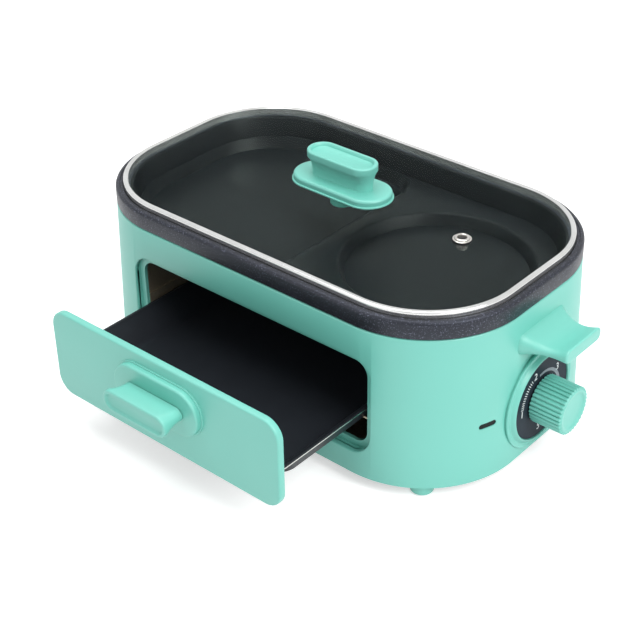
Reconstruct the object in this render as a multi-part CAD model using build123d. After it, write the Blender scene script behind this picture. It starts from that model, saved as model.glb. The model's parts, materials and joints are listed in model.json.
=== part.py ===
from build123d import *
import math
import os

os.makedirs("parts", exist_ok=True)

# Housing: a long rounded box, wider at its base, on four short feet
body_length = 330.0
body_width = 200.0
corner_radius = 73.5
base_flare = 3.0
foot_height = 9.0
shell_wall = 3.0
shell_edge_round = 1.2
pan_flange = 7.0
seat_gap = 0.2
slide_gap = 0.3

# Drawer opening in the front wall, and the stepped frame behind it
drawer_height_above_table = 62.0
opening_end_margin = 59.0
opening_height = 72.0
opening_corner = 15.0
tunnel_wall = 2.0
frame_lip_side = 5.3
frame_lip_height = 4.5
frame_thickness = 2.5
frame_corner = 10.0

# Drawer
front_side_gap = 5.0
front_height_gap = 3.3
front_thickness = 5.0
front_corner = 16.0
front_edge_round = 1.4
front_to_frame_gap = 0.6
rest_opening = 78.0
tray_side_gap = 2.2
tray_back_gap = 11.0
tray_rim_height = 7.5
tray_basin_height = 10.5
tray_corner = 12.0
tray_side_slope = 7.0
tray_wall = 1.6
tray_top_above_centre = -4.0

# Handles: one stadium base with a flared grip, on the drawer and on the lid
handle_base_length = 77.0
drawer_base_width = 36.0
lid_base_width = 42.0
handle_base_thickness = 5.0
handle_base_round = 1.6
handle_step = 1.0
grip_length = 56.0
grip_foot_length = 52.0
drawer_grip_height = 18.0
drawer_grip_face_width = 16.0
drawer_grip_neck_width = 9.5
lid_grip_height = 22.0
lid_grip_face_width = 23.0
lid_grip_neck_width = 12.0
grip_rim = 2.0
grip_dish_depth = 1.8
drawer_handle_rise = 7.0

# Griddle pan with its dark outer band
gasket_thickness = 0.6
gasket_inset = 1.2
band_height = 12.4
band_edge_round = 2.5
groove_inset = 5.0
groove_depth = 2.5
pan_lip_inset = 12.0
pan_body_inset = 8.0
pan_ridge_depth = 14.5
pan_well_depth = 8.0
pan_floor = 3.0
pan_wall_slope = 4.5
well_slope = 4.0
round_well_radius = 66.0
ridge_width = 12.0
left_well_corner = 20.0

# Lid
lid_inset = 5.6
lid_rim_height = 6.0
lid_rim_sheet = 0.9
lid_rim_width = 3.6
lid_rim_round = 1.2
glass_thickness = 4.0
glass_dome = 5.2
vent_end_inset = 64.0
vent_flange_radius = 6.8
vent_hole_radius = 2.6
vent_tube_radius = 3.8
handle_screw_radius = 2.0
lid_screw_head_radius = 4.0
lid_screw_head_height = 1.8
lid_boss_radius = 8.5
lid_boss_height = 5.0
lid_boss_round = 1.0
boss_seat = 0.1

# Dial, knob and heat control on the right end
dial_height_above_table = 47.2
bezel_radius = 37.0
bezel_rise = 4.4
plate_radius = 30.0
plate_thickness = 1.2
plate_recess = 0.5
bezel_hole_radius = 12.0
knob_radius = 16.2
knob_length = 22.8
knob_gap = 0.8
knob_rib_count = 38
knob_rib_radius = 0.75
knob_rim = 2.4
knob_dish_depth = 1.4
shaft_radius = 3.0
shaft_in_knob = 15.0
running_clearance = 0.05
control_bush_radius = 5.0
control_nut_radius = 7.5
control_depth = 26.0
control_side = 30.0

# Side handles
side_handle_reach = 32.0
side_handle_root_width = 54.0
side_handle_tip_width = 41.0
side_handle_drop = 15.0
side_handle_root_depth = 15.5
side_handle_tip_drop = 1.0
side_handle_tip_depth = 8.0
side_handle_scoop = 4.6
side_handle_arch = 3.0
side_handle_round = 1.6
side_screw_spacing = 24.0
side_screw_depth = 9.0

# Indicator window on the front right corner
indicator_angle = 19.2
indicator_height_above_table = 50.8
indicator_length = 13.0
indicator_width = 3.6
indicator_depth = 6.0
lamp_radius = 2.4
lamp_length = 12.0

# Oven chamber behind the drawer opening
liner_sheet = 0.8
liner_side_gap = 0.8
liner_floor_gap = 7.0
liner_roof_gap = 2.0
liner_back_space = 17.5
rail_sheet = 1.2
rail_reach = 5.0
rail_leg_rise = 6.0
heater_radius = 3.2
heater_run_spacing = 36.0
heater_end_space = 29.5
heater_tail = 12.0
heater_wall_gap = 4.0
insulator_radius = 6.0
insulator_neck_radius = 4.2
insulator_neck_length = 2.0
insulator_length = 7.0
griddle_heater_inset = 42.0
griddle_heater_corner = 40.0
griddle_heater_clearance = 1.9
stand_length = 26.0
stand_width = 12.0
stand_inset = 30.0
clip_length = 12.0
clip_foot = 4.0
clip_offset = 60.0

# Base plate, feet and screws
base_plate_thickness = 2.0
foot_radius = 8.0
foot_pad_radius = 6.0
foot_pad_rise = 1.0
foot_pad_seat = 3.0
foot_end_inset = 32.0
foot_side_inset = 21.0
vent_slot_length = 30.0
vent_slot_width = 3.0
vent_slot_pitch = 9.0
vent_slot_count = 9
screw_radius = 1.4
screw_head_radius = 3.0
screw_head_height = 1.4
boss_radius = 4.5
boss_x = 70.0
section_clearance = 6.0
boss_tunnel_gap = 2.0
boss_overlap = 1.0

# Supply entry at the back
gland_height_above_table = 34.0
gland_corner_gap = 1.0
cord_radius = 3.5
gland_radius = 6.0
gland_flange_radius = 8.5
gland_length = 13.0
terminal_length = 40.0
terminal_width = 12.0
terminal_height = 10.0
terminal_boss_gap = 8.5
terminal_gap = 3.0
terminal_slot = 2.2
cutout_length = 16.0
cutout_width = 9.0
cutout_height = 4.0

# Heights and reaches worked out from the sizes above
shell_bottom = foot_height
opening_length = body_length - 2 * opening_end_margin
frame_height = opening_height - 2 * frame_lip_height
liner_low = drawer_height_above_table - frame_height / 2 - liner_floor_gap
liner_high = drawer_height_above_table + frame_height / 2 + liner_roof_gap
clips_low = liner_high + liner_sheet + griddle_heater_clearance
pan_bottom = clips_low + liner_sheet + 2 * (slide_gap + heater_radius)
well_floor = pan_bottom + pan_floor
ridge_top = well_floor + pan_well_depth
groove_floor = ridge_top + pan_ridge_depth
rim_top = groove_floor + groove_depth
rim_low = rim_top - band_height
shell_top = rim_low - gasket_thickness
shell_height = shell_top - shell_bottom
side_handle_root_high = shell_top - side_handle_drop
side_handle_root_low = side_handle_root_high - side_handle_root_depth
side_handle_tip_high = side_handle_root_high - side_handle_tip_drop
side_handle_tip_low = side_handle_tip_high - side_handle_tip_depth
rim_seat = groove_floor + slide_gap
glass_low = rim_seat + lid_rim_sheet + 0.1
glass_edge_top = glass_low + glass_thickness
glass_peak = glass_edge_top + glass_dome


def flare_at(z):
    """How far the wall stands out past the plan of the top edge at a height."""
    return base_flare * (shell_top - z) / shell_height


def plan(inset, z):
    """The rounded outline of the housing's top edge, drawn in by an inset."""
    length = body_length - 2 * inset
    width = body_width - 2 * inset
    return Pos(0, 0, z) * RectangleRounded(length, width, corner_radius - inset)


def prism(inset, low, high):
    return extrude(plan(inset, low), amount=high - low)


def tapered(low_inset, low, high_inset, high):
    return loft([plan(low_inset, low), plan(high_inset, high)], ruled=True)


def envelope(offset, low=shell_bottom, high=shell_top):
    """The flared outer volume of the housing, grown outwards by an offset."""
    return tapered(-flare_at(low) - offset, low, -flare_at(high) - offset, high)


def front_prism(length, height, corner, front, back, z=drawer_height_above_table):
    """A rounded rectangle that faces the front, from one depth to another."""
    sketch = RectangleRounded(length, height, corner)
    return Pos(0, back, z) * Rot(90, 0, 0) * extrude(sketch, amount=back - front)


def along_x(radius, start, end, y, z):
    disc = Pos(start, y, z) * Rot(0, 90, 0) * Circle(radius)
    return extrude(disc, amount=end - start)


def upright(radius, low, high, x, y):
    return extrude(Pos(x, y, low) * Circle(radius), amount=high - low)


def tube(points, radius, bend):
    """A round rod along straight runs joined by arcs of one bend radius."""
    path = FilletPolyline(*points, radius=bend)
    start = Plane(origin=path @ 0, z_dir=path % 0)
    return sweep(start * Circle(radius), path=path)


front_wall = -(body_width / 2 + flare_at(drawer_height_above_table))
end_wall = body_length / 2 + flare_at(dial_height_above_table)
handle_wall = body_length / 2 + flare_at(side_handle_root_high)
frame_front = front_wall + front_thickness + front_to_frame_gap
frame_back = frame_front + frame_thickness
frame_length = opening_length - 2 * frame_lip_side
front_length = opening_length - 2 * front_side_gap
front_height = opening_height - 2 * front_height_gap
tray_length = frame_length - 2 * tray_side_gap
liner_back = body_width / 2 - shell_wall - liner_back_space
tray_depth = liner_back - tray_back_gap - front_wall - front_thickness
base_plate_top = shell_bottom + base_plate_thickness
tunnel_low = drawer_height_above_table - opening_height / 2 - tunnel_wall
boss_height = tunnel_low - boss_tunnel_gap - base_plate_top
side_screw_height = (side_handle_root_low + side_handle_root_high) / 2
side_screw_ys = (-side_screw_spacing / 2, side_screw_spacing / 2)
boss_y = body_width / 2 + flare_at(base_plate_top) - shell_wall - boss_radius + boss_overlap
boss_places = [(x, y) for x in (-boss_x, boss_x) for y in (-boss_y, boss_y)]
foot_x = body_length / 2 - foot_end_inset
foot_y = body_width / 2 - foot_side_inset
foot_places = [(x, y) for x in (-foot_x, foot_x) for y in (-foot_y, foot_y)]
section_x = opening_length / 2 + tunnel_wall + section_clearance
gland_offset = body_length / 2 - corner_radius - gland_flange_radius - gland_corner_gap
vent_offset = body_length / 2 - vent_end_inset


def indicator_window(length, width, start, end):
    """A pill that points outwards through the front right corner."""
    height = indicator_height_above_table
    reach = corner_radius + flare_at(height)
    turn = Rot(0, 0, -indicator_angle)
    centre = Pos(body_length / 2 - corner_radius, corner_radius - body_width / 2, height)
    pill = extrude(Rot(0, 90, 0) * Rot(0, 0, 90) * SlotOverall(length, width), amount=end - start)
    return centre * turn * Pos(reach + start, 0, 0) * pill


def housing_shell():
    outer = envelope(0)
    outer = fillet(outer.edges().group_by(Axis.Z)[-1], shell_edge_round)
    inner_top = shell_top - shell_wall
    inner_low_inset = shell_wall - base_flare
    inner = tapered(inner_low_inset, shell_bottom, shell_wall - flare_at(inner_top), inner_top)
    shell = outer - inner - prism(pan_flange, inner_top, shell_top)
    tunnel = front_prism(
        opening_length + 2 * tunnel_wall,
        opening_height + 2 * tunnel_wall,
        opening_corner + tunnel_wall,
        front_wall,
        frame_front,
    )
    shell += tunnel & envelope(-shell_wall / 2)
    for x, y in boss_places:
        post = upright(boss_radius, base_plate_top, base_plate_top + boss_height, x, y)
        shell += post - upright(screw_radius + 0.1, 0, shell_top, x, y)
    shell -= front_prism(
        opening_length, opening_height, opening_corner, front_wall - base_flare, frame_front
    )
    shell -= along_x(control_bush_radius + seat_gap, body_length / 3, end_wall + 5, 0, dial_height_above_table)
    for y in side_screw_ys:
        reach = handle_wall + 5
        shell -= along_x(screw_radius + seat_gap, -reach, reach, y, side_screw_height)
    shell -= indicator_window(
        indicator_length + 2 * seat_gap, indicator_width + 2 * seat_gap, -2 * indicator_depth, indicator_depth
    )
    gland = Pos(gland_offset, 0, gland_height_above_table) * Rot(-90, 0, 0) * Circle(gland_radius + seat_gap)
    return shell - extrude(gland, amount=body_width)


def shell_section(shell, side_x, side_y):
    """One of the four joined sections of the shell: front, back, or either end."""
    reach = body_length
    if side_x:
        piece = slab(section_x, reach, -reach, reach, 0, reach)
        return shell & (piece if side_x > 0 else mirror(piece, about=Plane.YZ))
    piece = slab(-section_x, section_x, 0, reach, 0, reach)
    return shell & (piece if side_y > 0 else mirror(piece, about=Plane.XZ))


def opening_frame():
    flange = front_prism(
        opening_length + 2 * tunnel_wall,
        opening_height + 2 * tunnel_wall,
        opening_corner + tunnel_wall,
        frame_front,
        frame_back,
    )
    hole = front_prism(frame_length, frame_height, frame_corner, frame_front - 1, frame_back + 1)
    return (flange & envelope(-shell_wall - seat_gap)) - hole


liner_half_length = frame_length / 2 + liner_side_gap
heater_run_reach = liner_half_length - heater_end_space
liner_front = frame_back
heater_tail_end = liner_half_length + liner_sheet + heater_tail
lower_heater_z = liner_low + heater_wall_gap + heater_radius
upper_heater_z = liner_high - heater_wall_gap - heater_radius
heater_ys = [(k - 1.5) * heater_run_spacing for k in range(4)]
heater_centre_y = (liner_front + liner_back) / 2


def slab(x_low, x_high, y_low, y_high, z_low, z_high):
    """A plain block between two corners."""
    box = Box(x_high - x_low, y_high - y_low, z_high - z_low, align=Align.MIN)
    return Pos(x_low, y_low, z_low) * box


def oven_liner():
    half = liner_half_length
    inside = slab(-half, half, liner_front, liner_back, liner_low, liner_high)
    sheet = liner_sheet
    outside = slab(
        -half - sheet, half + sheet, liner_front, liner_back + sheet, liner_low - sheet, liner_high + sheet
    )
    liner = outside - inside
    for z in (lower_heater_z, upper_heater_z):
        for y in (heater_ys[0], heater_ys[-1]):
            liner -= along_x(insulator_neck_radius + seat_gap, half - insulator_length, half + insulator_length, heater_centre_y + y, z)
    return liner


def heating_rod(z):
    """One long rod bent into four runs, with both tails through the right wall."""
    y = [heater_centre_y + step for step in heater_ys]
    reach = heater_run_reach
    tail = heater_tail_end
    corners = [
        (tail, y[0]), (-reach, y[0]), (-reach, y[1]), (reach, y[1]),
        (reach, y[2]), (-reach, y[2]), (-reach, y[3]), (tail, y[3]),
    ]
    points = [(x, yy, z) for x, yy in corners]
    return tube(points, heater_radius, 0.45 * heater_run_spacing)


def insulators():
    """Ceramic bushes that carry the rod tails in the right wall of the liner."""
    wall = liner_half_length
    bushes = []
    for z in (lower_heater_z, upper_heater_z):
        for step in (heater_ys[0], heater_ys[-1]):
            y = heater_centre_y + step
            flange_start = wall + liner_sheet + seat_gap / 2
            bush = along_x(insulator_radius, flange_start, flange_start + insulator_length, y, z)
            bush += along_x(insulator_neck_radius, wall - insulator_neck_length, flange_start, y, z)
            bore_end = flange_start + 2 * insulator_length
            bushes.append(bush - along_x(heater_radius + seat_gap / 2, wall - insulator_length, bore_end, y, z))
    return Compound(children=bushes)


def griddle_heater():
    """A long rounded loop clamped under the pan, with its tails to the right."""
    z = pan_bottom - heater_radius - slide_gap
    half = body_length / 2 - griddle_heater_inset
    side = body_width / 2 - griddle_heater_inset
    tail = half + heater_tail
    points = [(tail, -side, z), (-half, -side, z), (-half, side, z), (tail, side, z)]
    return tube(points, heater_radius, griddle_heater_corner)


def heater_clips():
    """Saddles that hold the loop against the underside of the pan."""
    side = body_width / 2 - griddle_heater_inset
    clips = []
    half = heater_radius + slide_gap
    reach = clip_length / 2
    for x in (-clip_offset, clip_offset):
        for y in (-side, side):
            wide = half + clip_foot
            block = slab(x - reach, x + reach, y - wide, y + wide, clips_low, pan_bottom)
            clips.append(block - slab(x - reach, x + reach, y - half, y + half, clips_low + liner_sheet, pan_bottom))
    return Compound(children=clips)


tray_top = drawer_height_above_table + tray_top_above_centre
tray_rim_low = tray_top - tray_rim_height
rail_top = tray_rim_low - slide_gap


def drawer_rail(side):
    """An angle on the side wall of the liner, whose ledge carries the tray rim."""
    wall = liner_half_length
    inner = tray_length / 2 - rail_reach
    ledge = slab(inner, wall, liner_front, liner_back, rail_top - rail_sheet, rail_top)
    leg = slab(wall - rail_sheet, wall, liner_front, liner_back, rail_top, tray_top + rail_leg_rise)
    rail = ledge + leg
    return rail if side > 0 else mirror(rail, about=Plane.YZ)


def liner_stands():
    """Channels that hold the oven chamber above the base plate."""
    high = liner_low - liner_sheet
    stands = []
    for x in (-boss_x, boss_x):
        for y in (liner_front + stand_inset, liner_back - stand_inset):
            half_x = stand_length / 2
            half_y = stand_width / 2
            block = slab(x - half_x, x + half_x, y - half_y, y + half_y, base_plate_top, high)
            gap = slab(
                x - half_x + rail_sheet, x + half_x - rail_sheet, y - half_y, y + half_y,
                base_plate_top, high - rail_sheet,
            )
            stands.append(block - gap)
    return Compound(children=stands)


front_face_rest = front_wall - rest_opening
front_back_rest = front_face_rest + front_thickness
screw_xs = (-grip_foot_length / 4, grip_foot_length / 4)
handle_z = drawer_height_above_table + drawer_handle_rise


def drawer_front():
    panel = front_prism(front_length, front_height, front_corner, front_face_rest, front_back_rest)
    panel = fillet(panel.edges().group_by(Axis.Y)[0], front_edge_round)
    for x in screw_xs:
        hole = Pos(x, front_face_rest - 1, handle_z) * Rot(-90, 0, 0) * Circle(screw_radius + seat_gap)
        panel -= extrude(hole, amount=front_thickness + 2)
    return panel


def tray_section(inset, z):
    y = front_back_rest + tray_depth / 2
    size = RectangleRounded(tray_length - 2 * inset, tray_depth - 2 * inset, tray_corner)
    return Pos(0, y, z) * size


def drawer_tray():
    """A shallow pan: an upright rim that rides on the rails, over a sloped basin."""
    basin_low = tray_rim_low - tray_basin_height
    rim = extrude(tray_section(0, tray_rim_low), amount=tray_rim_height)
    basin_inset = tray_side_slope + tray_wall
    basin = loft(
        [tray_section(basin_inset + tray_side_slope, basin_low), tray_section(basin_inset, tray_rim_low)],
        ruled=True,
    )
    floor = basin_low + tray_wall
    inside = loft(
        [
            tray_section(basin_inset + tray_side_slope + tray_wall, floor),
            tray_section(basin_inset, tray_rim_low + tray_wall),
            tray_section(tray_wall, tray_top),
        ],
        ruled=True,
    )
    return rim + basin - inside


def handle_base(width, screw, hole_xs):
    """A raised stadium with a thin step round its foot, built upwards from zero."""
    step = extrude(SlotOverall(handle_base_length, width), amount=handle_step)
    pad_sketch = SlotOverall(handle_base_length - 2 * handle_step, width - 2 * handle_step)
    pad = extrude(pad_sketch, amount=handle_base_thickness)
    pad = fillet(pad.edges().group_by(Axis.Z)[-1], handle_base_round)
    base = step + pad
    for x in hole_xs:
        base -= upright(screw + seat_gap, -1, handle_base_thickness + 1, x, 0)
    return base


def handle_grip(height, face_width, neck_width, screw, hole_xs):
    """A waisted grip that flares to a dished face with a raised rim."""
    levels = (
        (0.0, grip_foot_length, neck_width + 1.0),
        (0.35, grip_foot_length - 1.0, neck_width),
        (0.75, (grip_foot_length + grip_length) / 2, (neck_width + face_width) / 2 + 1.0),
        (1.0, grip_length, face_width),
    )
    sections = [Pos(0, 0, share * height) * SlotOverall(long, wide) for share, long, wide in levels]
    grip = loft(sections)
    grip = fillet(grip.edges().group_by(Axis.Z)[-1], grip_rim / 4)
    dish = extrude(
        Pos(0, 0, height - grip_dish_depth) * SlotOverall(grip_length - 2 * grip_rim, face_width - 2 * grip_rim),
        amount=grip_dish_depth + 1,
    )
    grip -= dish
    for x in hole_xs:
        grip -= upright(screw + seat_gap / 2, -1, 0.6 * height, x, 0)
    return grip


def on_front(shape, depth):
    """Turns an upright piece to face the front, at the drawer handle's height."""
    return Pos(0, depth, handle_z) * Rot(90, 0, 0) * shape


def screw(radius, head_radius, head_height, length):
    """A round screw that stands up from its head."""
    shank = upright(radius, 0, length, 0, 0)
    head = upright(head_radius, -head_height, 0, 0, 0)
    return fillet(head.edges().group_by(Axis.Z)[0], head_height / 3) + shank


def drawer_screws():
    length = front_thickness + handle_base_thickness + 0.45 * drawer_grip_height
    one = screw(screw_radius, screw_head_radius, screw_head_height, length)
    turned = Rot(90, 0, 0) * one
    return Compound(children=[Pos(x, front_back_rest, handle_z) * turned for x in screw_xs])


def pan():
    """The cast pan: a dark outer band, a groove for the lid and two wells."""
    band = prism(0, rim_low, rim_top)
    band = fillet(band.edges().group_by(Axis.Z)[-1], band_edge_round)
    body_slope = pan_wall_slope + well_slope
    body = tapered(pan_body_inset + body_slope, pan_bottom, pan_body_inset, rim_low)
    body = fillet(body.edges().group_by(Axis.Z)[0], pan_floor)
    cup = band + body - prism(groove_inset, groove_floor, rim_top)
    cup -= tapered(pan_lip_inset + pan_wall_slope, ridge_top, pan_lip_inset, groove_floor)
    reach = body_length / 2 - pan_lip_inset - pan_wall_slope
    round_centre = reach - round_well_radius
    well = Pos(round_centre, 0, ridge_top) * Circle(round_well_radius)
    well_bottom = Pos(round_centre, 0, well_floor) * Circle(round_well_radius - well_slope)
    cup -= loft([well_bottom, well], ruled=True)
    right = round_centre - round_well_radius - ridge_width
    side = body_width / 2 - pan_lip_inset - pan_wall_slope
    left_well = [left_well_section(-reach, right, side, slope, z) for slope, z in
                 ((well_slope, well_floor), (0, ridge_top))]
    return cup - loft(left_well, ruled=True)


def left_well_section(left, right, side, inset, z):
    """The flat left cooking area: round at the housing's end, squarer at the ridge."""
    outer = corner_radius - pan_lip_inset - pan_wall_slope - inset
    inner = left_well_corner - inset
    x0, x1, y = left + inset, right - inset, side - inset
    edge = [
        Line((x0 + outer, -y), (x1 - inner, -y)),
        RadiusArc((x1 - inner, -y), (x1, -y + inner), -inner),
        Line((x1, -y + inner), (x1, y - inner)),
        RadiusArc((x1, y - inner), (x1 - inner, y), -inner),
        Line((x1 - inner, y), (x0 + outer, y)),
        RadiusArc((x0 + outer, y), (x0, y - outer), -outer),
        Line((x0, y - outer), (x0, -y + outer)),
        RadiusArc((x0, -y + outer), (x0 + outer, -y), -outer),
    ]
    return Pos(0, 0, z) * make_face(Wire(edge).edges())


def gasket():
    return prism(gasket_inset, shell_top, rim_low) - prism(pan_flange, shell_top, rim_low)


def lid_rim():
    """A folded steel channel round the edge of the glass."""
    high = rim_seat + lid_rim_height
    ring = prism(lid_inset, rim_seat, high)
    edges = ring.edges().group_by(Axis.Z)
    ring = fillet(edges[-1] + edges[0], lid_rim_round)
    ring -= prism(lid_inset + lid_rim_width, rim_seat, high)
    return ring - prism(lid_inset + lid_rim_sheet, glass_low - 0.1, glass_edge_top + 0.1)


def glass_outline(share, z):
    inset = lid_inset + lid_rim_sheet + seat_gap
    length = (body_length - 2 * inset) * share
    width = (body_width - 2 * inset) * share
    return Pos(0, 0, z) * RectangleRounded(length, width, (corner_radius - inset) * share)


def glass_dome_solid(drop):
    shares = (0.965, 0.8, 0.6, 0.4, 0.2)
    sections = []
    for share in shares:
        rise = glass_dome * (1 - share**2) / (1 - shares[-1] ** 2)
        sections.append(glass_outline(share, glass_edge_top + rise - drop))
    return loft(sections)


def lid_glass():
    """Flat at its edge and gently domed, one thickness all over."""
    flat = extrude(glass_outline(1.0, glass_low), amount=glass_thickness)
    first_rise = glass_dome * (1 - 0.965**2) / (1 - 0.2**2)
    neck = extrude(glass_outline(0.965, glass_edge_top), amount=first_rise)
    hollow_neck = extrude(glass_outline(0.965, glass_low), amount=first_rise)
    glass = flat + neck + glass_dome_solid(0) - hollow_neck - glass_dome_solid(glass_thickness)
    glass -= upright(vent_tube_radius + seat_gap, glass_low - 1, glass_peak + 5, vent_offset, 0)
    return glass - upright(handle_screw_radius + seat_gap, glass_low - 1, glass_peak + 5, 0, 0)


vent_share = vent_offset / (body_length / 2 - lid_inset - lid_rim_sheet - seat_gap)
vent_seat = glass_edge_top + glass_dome * (1 - vent_share**2) / (1 - 0.2**2) + slide_gap


def vent_eyelet():
    """A stepped steel ring pressed through the glass."""
    low = vent_seat - glass_thickness - 2 * slide_gap - 1.0
    flange = upright(vent_flange_radius, vent_seat, vent_seat + 1.0, vent_offset, 0)
    flange += upright(0.72 * vent_flange_radius, vent_seat, vent_seat + 2.2, vent_offset, 0)
    flange = fillet(flange.edges().group_by(Axis.Z)[-1], 0.5)
    ring = flange + upright(vent_tube_radius, low, vent_seat, vent_offset, 0)
    ring += upright(vent_flange_radius - 1.5, low, low + 0.8, vent_offset, 0)
    return ring - upright(vent_hole_radius, low - 1, vent_seat + 5, vent_offset, 0)


lid_base_seat = glass_peak + boss_seat
lid_grip_seat = lid_base_seat + handle_base_thickness
boss_top = glass_peak - glass_thickness - boss_seat


def lid_boss():
    """A round boss that clamps the handle from under the glass."""
    low = boss_top - lid_boss_height
    ring = upright(lid_boss_radius, low, boss_top, 0, 0)
    ring = fillet(ring.edges().group_by(Axis.Z)[0], lid_boss_round)
    return ring - upright(handle_screw_radius + seat_gap, low - 1, boss_top + 1, 0, 0)


def lid_screw():
    head_top = boss_top - lid_boss_height
    length = lid_grip_seat + 0.5 * lid_grip_height - head_top
    return Pos(0, 0, head_top) * screw(handle_screw_radius, lid_screw_head_radius, lid_screw_head_height, length)


plate_front = end_wall + bezel_rise - plate_recess - 0.8
plate_back = plate_front - plate_thickness
knob_back = plate_front + knob_gap
knob_face = knob_back + knob_length


def dial_bezel():
    """A raised ring with a hollow face, fitted to the end wall."""
    z = dial_height_above_table
    front = end_wall + bezel_rise
    outer = bezel_radius
    lip = plate_radius + seat_gap
    inner = end_wall - 12.0
    profile = [
        (bezel_hole_radius, inner), (outer, inner), (outer, front - 1.6),
        (outer - 1.2, front - 0.4), (outer - 2.6, front - 0.9), (lip + 2.4, front - 1.6),
        (lip + 1.0, front - 0.2), (lip, front - 0.6), (lip, plate_back), (bezel_hole_radius, plate_back),
    ]
    face = make_face(Polyline(*[(r, 0, a) for r, a in profile], close=True).edges())
    ring = revolve(face, axis=Axis.Z)
    ring = Pos(0, 0, z) * Rot(0, 90, 0) * ring
    return ring - envelope(seat_gap)


def dial_plate():
    z = dial_height_above_table
    disc = along_x(plate_radius, plate_back, plate_front, 0, z)
    return disc - along_x(shaft_radius + 1.5, plate_back - 1, plate_front + 1, 0, z)


def control_knob():
    """A finely ribbed drum with a smooth rim and a dished face."""
    z = dial_height_above_table
    section = Circle(knob_radius) + PolarLocations(knob_radius, knob_rib_count) * Circle(knob_rib_radius)
    drum = extrude(section, amount=knob_length - knob_rim)
    cap = Pos(0, 0, knob_length - knob_rim) * Circle(knob_radius + knob_rib_radius)
    rim = extrude(cap, amount=knob_rim)
    rim = fillet(rim.edges().group_by(Axis.Z)[-1], knob_rim / 2.4)
    dish_low = Pos(0, 0, knob_length - knob_dish_depth) * Circle(knob_radius - 2 * knob_rim)
    dish_high = Pos(0, 0, knob_length) * Circle(knob_radius - 0.6 * knob_rim)
    knob = drum + rim - loft([dish_low, dish_high], ruled=True)
    knob -= upright(shaft_radius + running_clearance, 0, shaft_in_knob, 0, 0)
    return Pos(knob_back, 0, z) * Rot(0, 90, 0) * knob


control_wall = body_length / 2 + flare_at(dial_height_above_table + control_side / 2) - shell_wall
control_back = control_wall - seat_gap - control_depth
control_front = control_back + control_depth


def control_shaft():
    z = dial_height_above_table
    end = knob_back + shaft_in_knob - slide_gap
    return along_x(shaft_radius, control_front - 0.5 * control_depth, end, 0, z)


def heat_control():
    """The thermostat block behind the end wall, with its threaded bush."""
    z = dial_height_above_table
    half = control_side / 2
    block = slab(control_back, control_front, -half, half, z - half, z + half)
    block = fillet(block.edges().filter_by(Axis.X), 2.5)
    bush = along_x(control_bush_radius, control_front, plate_back - 0.3, 0, z)
    bore = along_x(shaft_radius + running_clearance, control_front - 0.5 * control_depth - 0.5, plate_back, 0, z)
    return block + bush - bore


def control_nut():
    z = dial_height_above_table
    start = body_length / 2 + flare_at(z - control_nut_radius) + seat_gap
    hexagon = Pos(start, 0, z) * Rot(0, 90, 0) * RegularPolygon(control_nut_radius, 6)
    nut = extrude(hexagon, amount=plate_back - 0.2 - start)
    return nut - along_x(control_bush_radius + 0.05, start - 1, plate_back + 1, 0, z)


def side_handle(side):
    """A ledge with a scooped top and an arched underside, narrow in the middle."""
    start = handle_wall - 8.0
    wall = handle_wall
    tip = wall + side_handle_reach
    middle = (wall + tip) / 2
    top_mid = (side_handle_root_high + side_handle_tip_high) / 2 - side_handle_scoop
    low_mid = (side_handle_root_low + side_handle_tip_low) / 2 + side_handle_arch
    edge = [
        Line((start, 0, side_handle_root_low), (wall, 0, side_handle_root_low)),
        ThreePointArc((wall, 0, side_handle_root_low), (middle, 0, low_mid), (tip, 0, side_handle_tip_low)),
        Line((tip, 0, side_handle_tip_low), (tip, 0, side_handle_tip_high)),
        ThreePointArc((tip, 0, side_handle_tip_high), (middle, 0, top_mid), (wall, 0, side_handle_root_high)),
        Line((wall, 0, side_handle_root_high), (start, 0, side_handle_root_high)),
        Line((start, 0, side_handle_root_high), (start, 0, side_handle_root_low)),
    ]
    profile = make_face(Wire(edge).edges())
    ledge = extrude(profile, amount=side_handle_root_width, both=True)
    root = side_handle_root_width / 2
    half = side_handle_tip_width / 2
    waist = half - 1.2
    outline = [
        Line((start, -root), (wall, -root)),
        ThreePointArc((wall, -root), (wall + 0.38 * side_handle_reach, -waist), (tip, -half)),
        Line((tip, -half), (tip, half)),
        ThreePointArc((tip, half), (wall + 0.38 * side_handle_reach, waist), (wall, root)),
        Line((wall, root), (start, root)),
        Line((start, root), (start, -root)),
    ]
    footprint = make_face(Wire(outline).edges())
    ledge &= extrude(footprint, amount=shell_top + band_height)
    tip_edges = ledge.faces().sort_by(Axis.X)[-1].edges().filter_by(Axis.Y)
    ledge = fillet(tip_edges, side_handle_round)
    ledge -= envelope(seat_gap)
    for y in side_screw_ys:
        ledge -= along_x(screw_radius + seat_gap / 2, start, wall + side_screw_depth + 1, y, side_screw_height)
    return ledge if side > 0 else mirror(ledge, about=Plane.YZ)


def side_screws():
    """Two screws for each side handle, driven from inside the shell."""
    head = body_length / 2 + flare_at(side_screw_height) - shell_wall - seat_gap
    length = handle_wall + side_screw_depth - head
    one = Rot(0, 90, 0) * screw(screw_radius, screw_head_radius, screw_head_height, length)
    pieces = []
    for y in side_screw_ys:
        right = Pos(head, y, side_screw_height) * one
        pieces.append(right)
        pieces.append(mirror(right, about=Plane.YZ))
    return Compound(children=pieces)


def indicator_lens():
    lens = indicator_window(indicator_length, indicator_width, -indicator_depth, indicator_depth)
    return lens & envelope(-slide_gap)


def indicator_lamp():
    height = indicator_height_above_table
    reach = corner_radius + flare_at(height) - indicator_depth - seat_gap
    centre = Pos(body_length / 2 - corner_radius, corner_radius - body_width / 2, height)
    disc = Pos(reach - lamp_length, 0, 0) * Rot(0, 90, 0) * Circle(lamp_radius)
    return centre * Rot(0, 0, -indicator_angle) * extrude(disc, amount=lamp_length)


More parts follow.
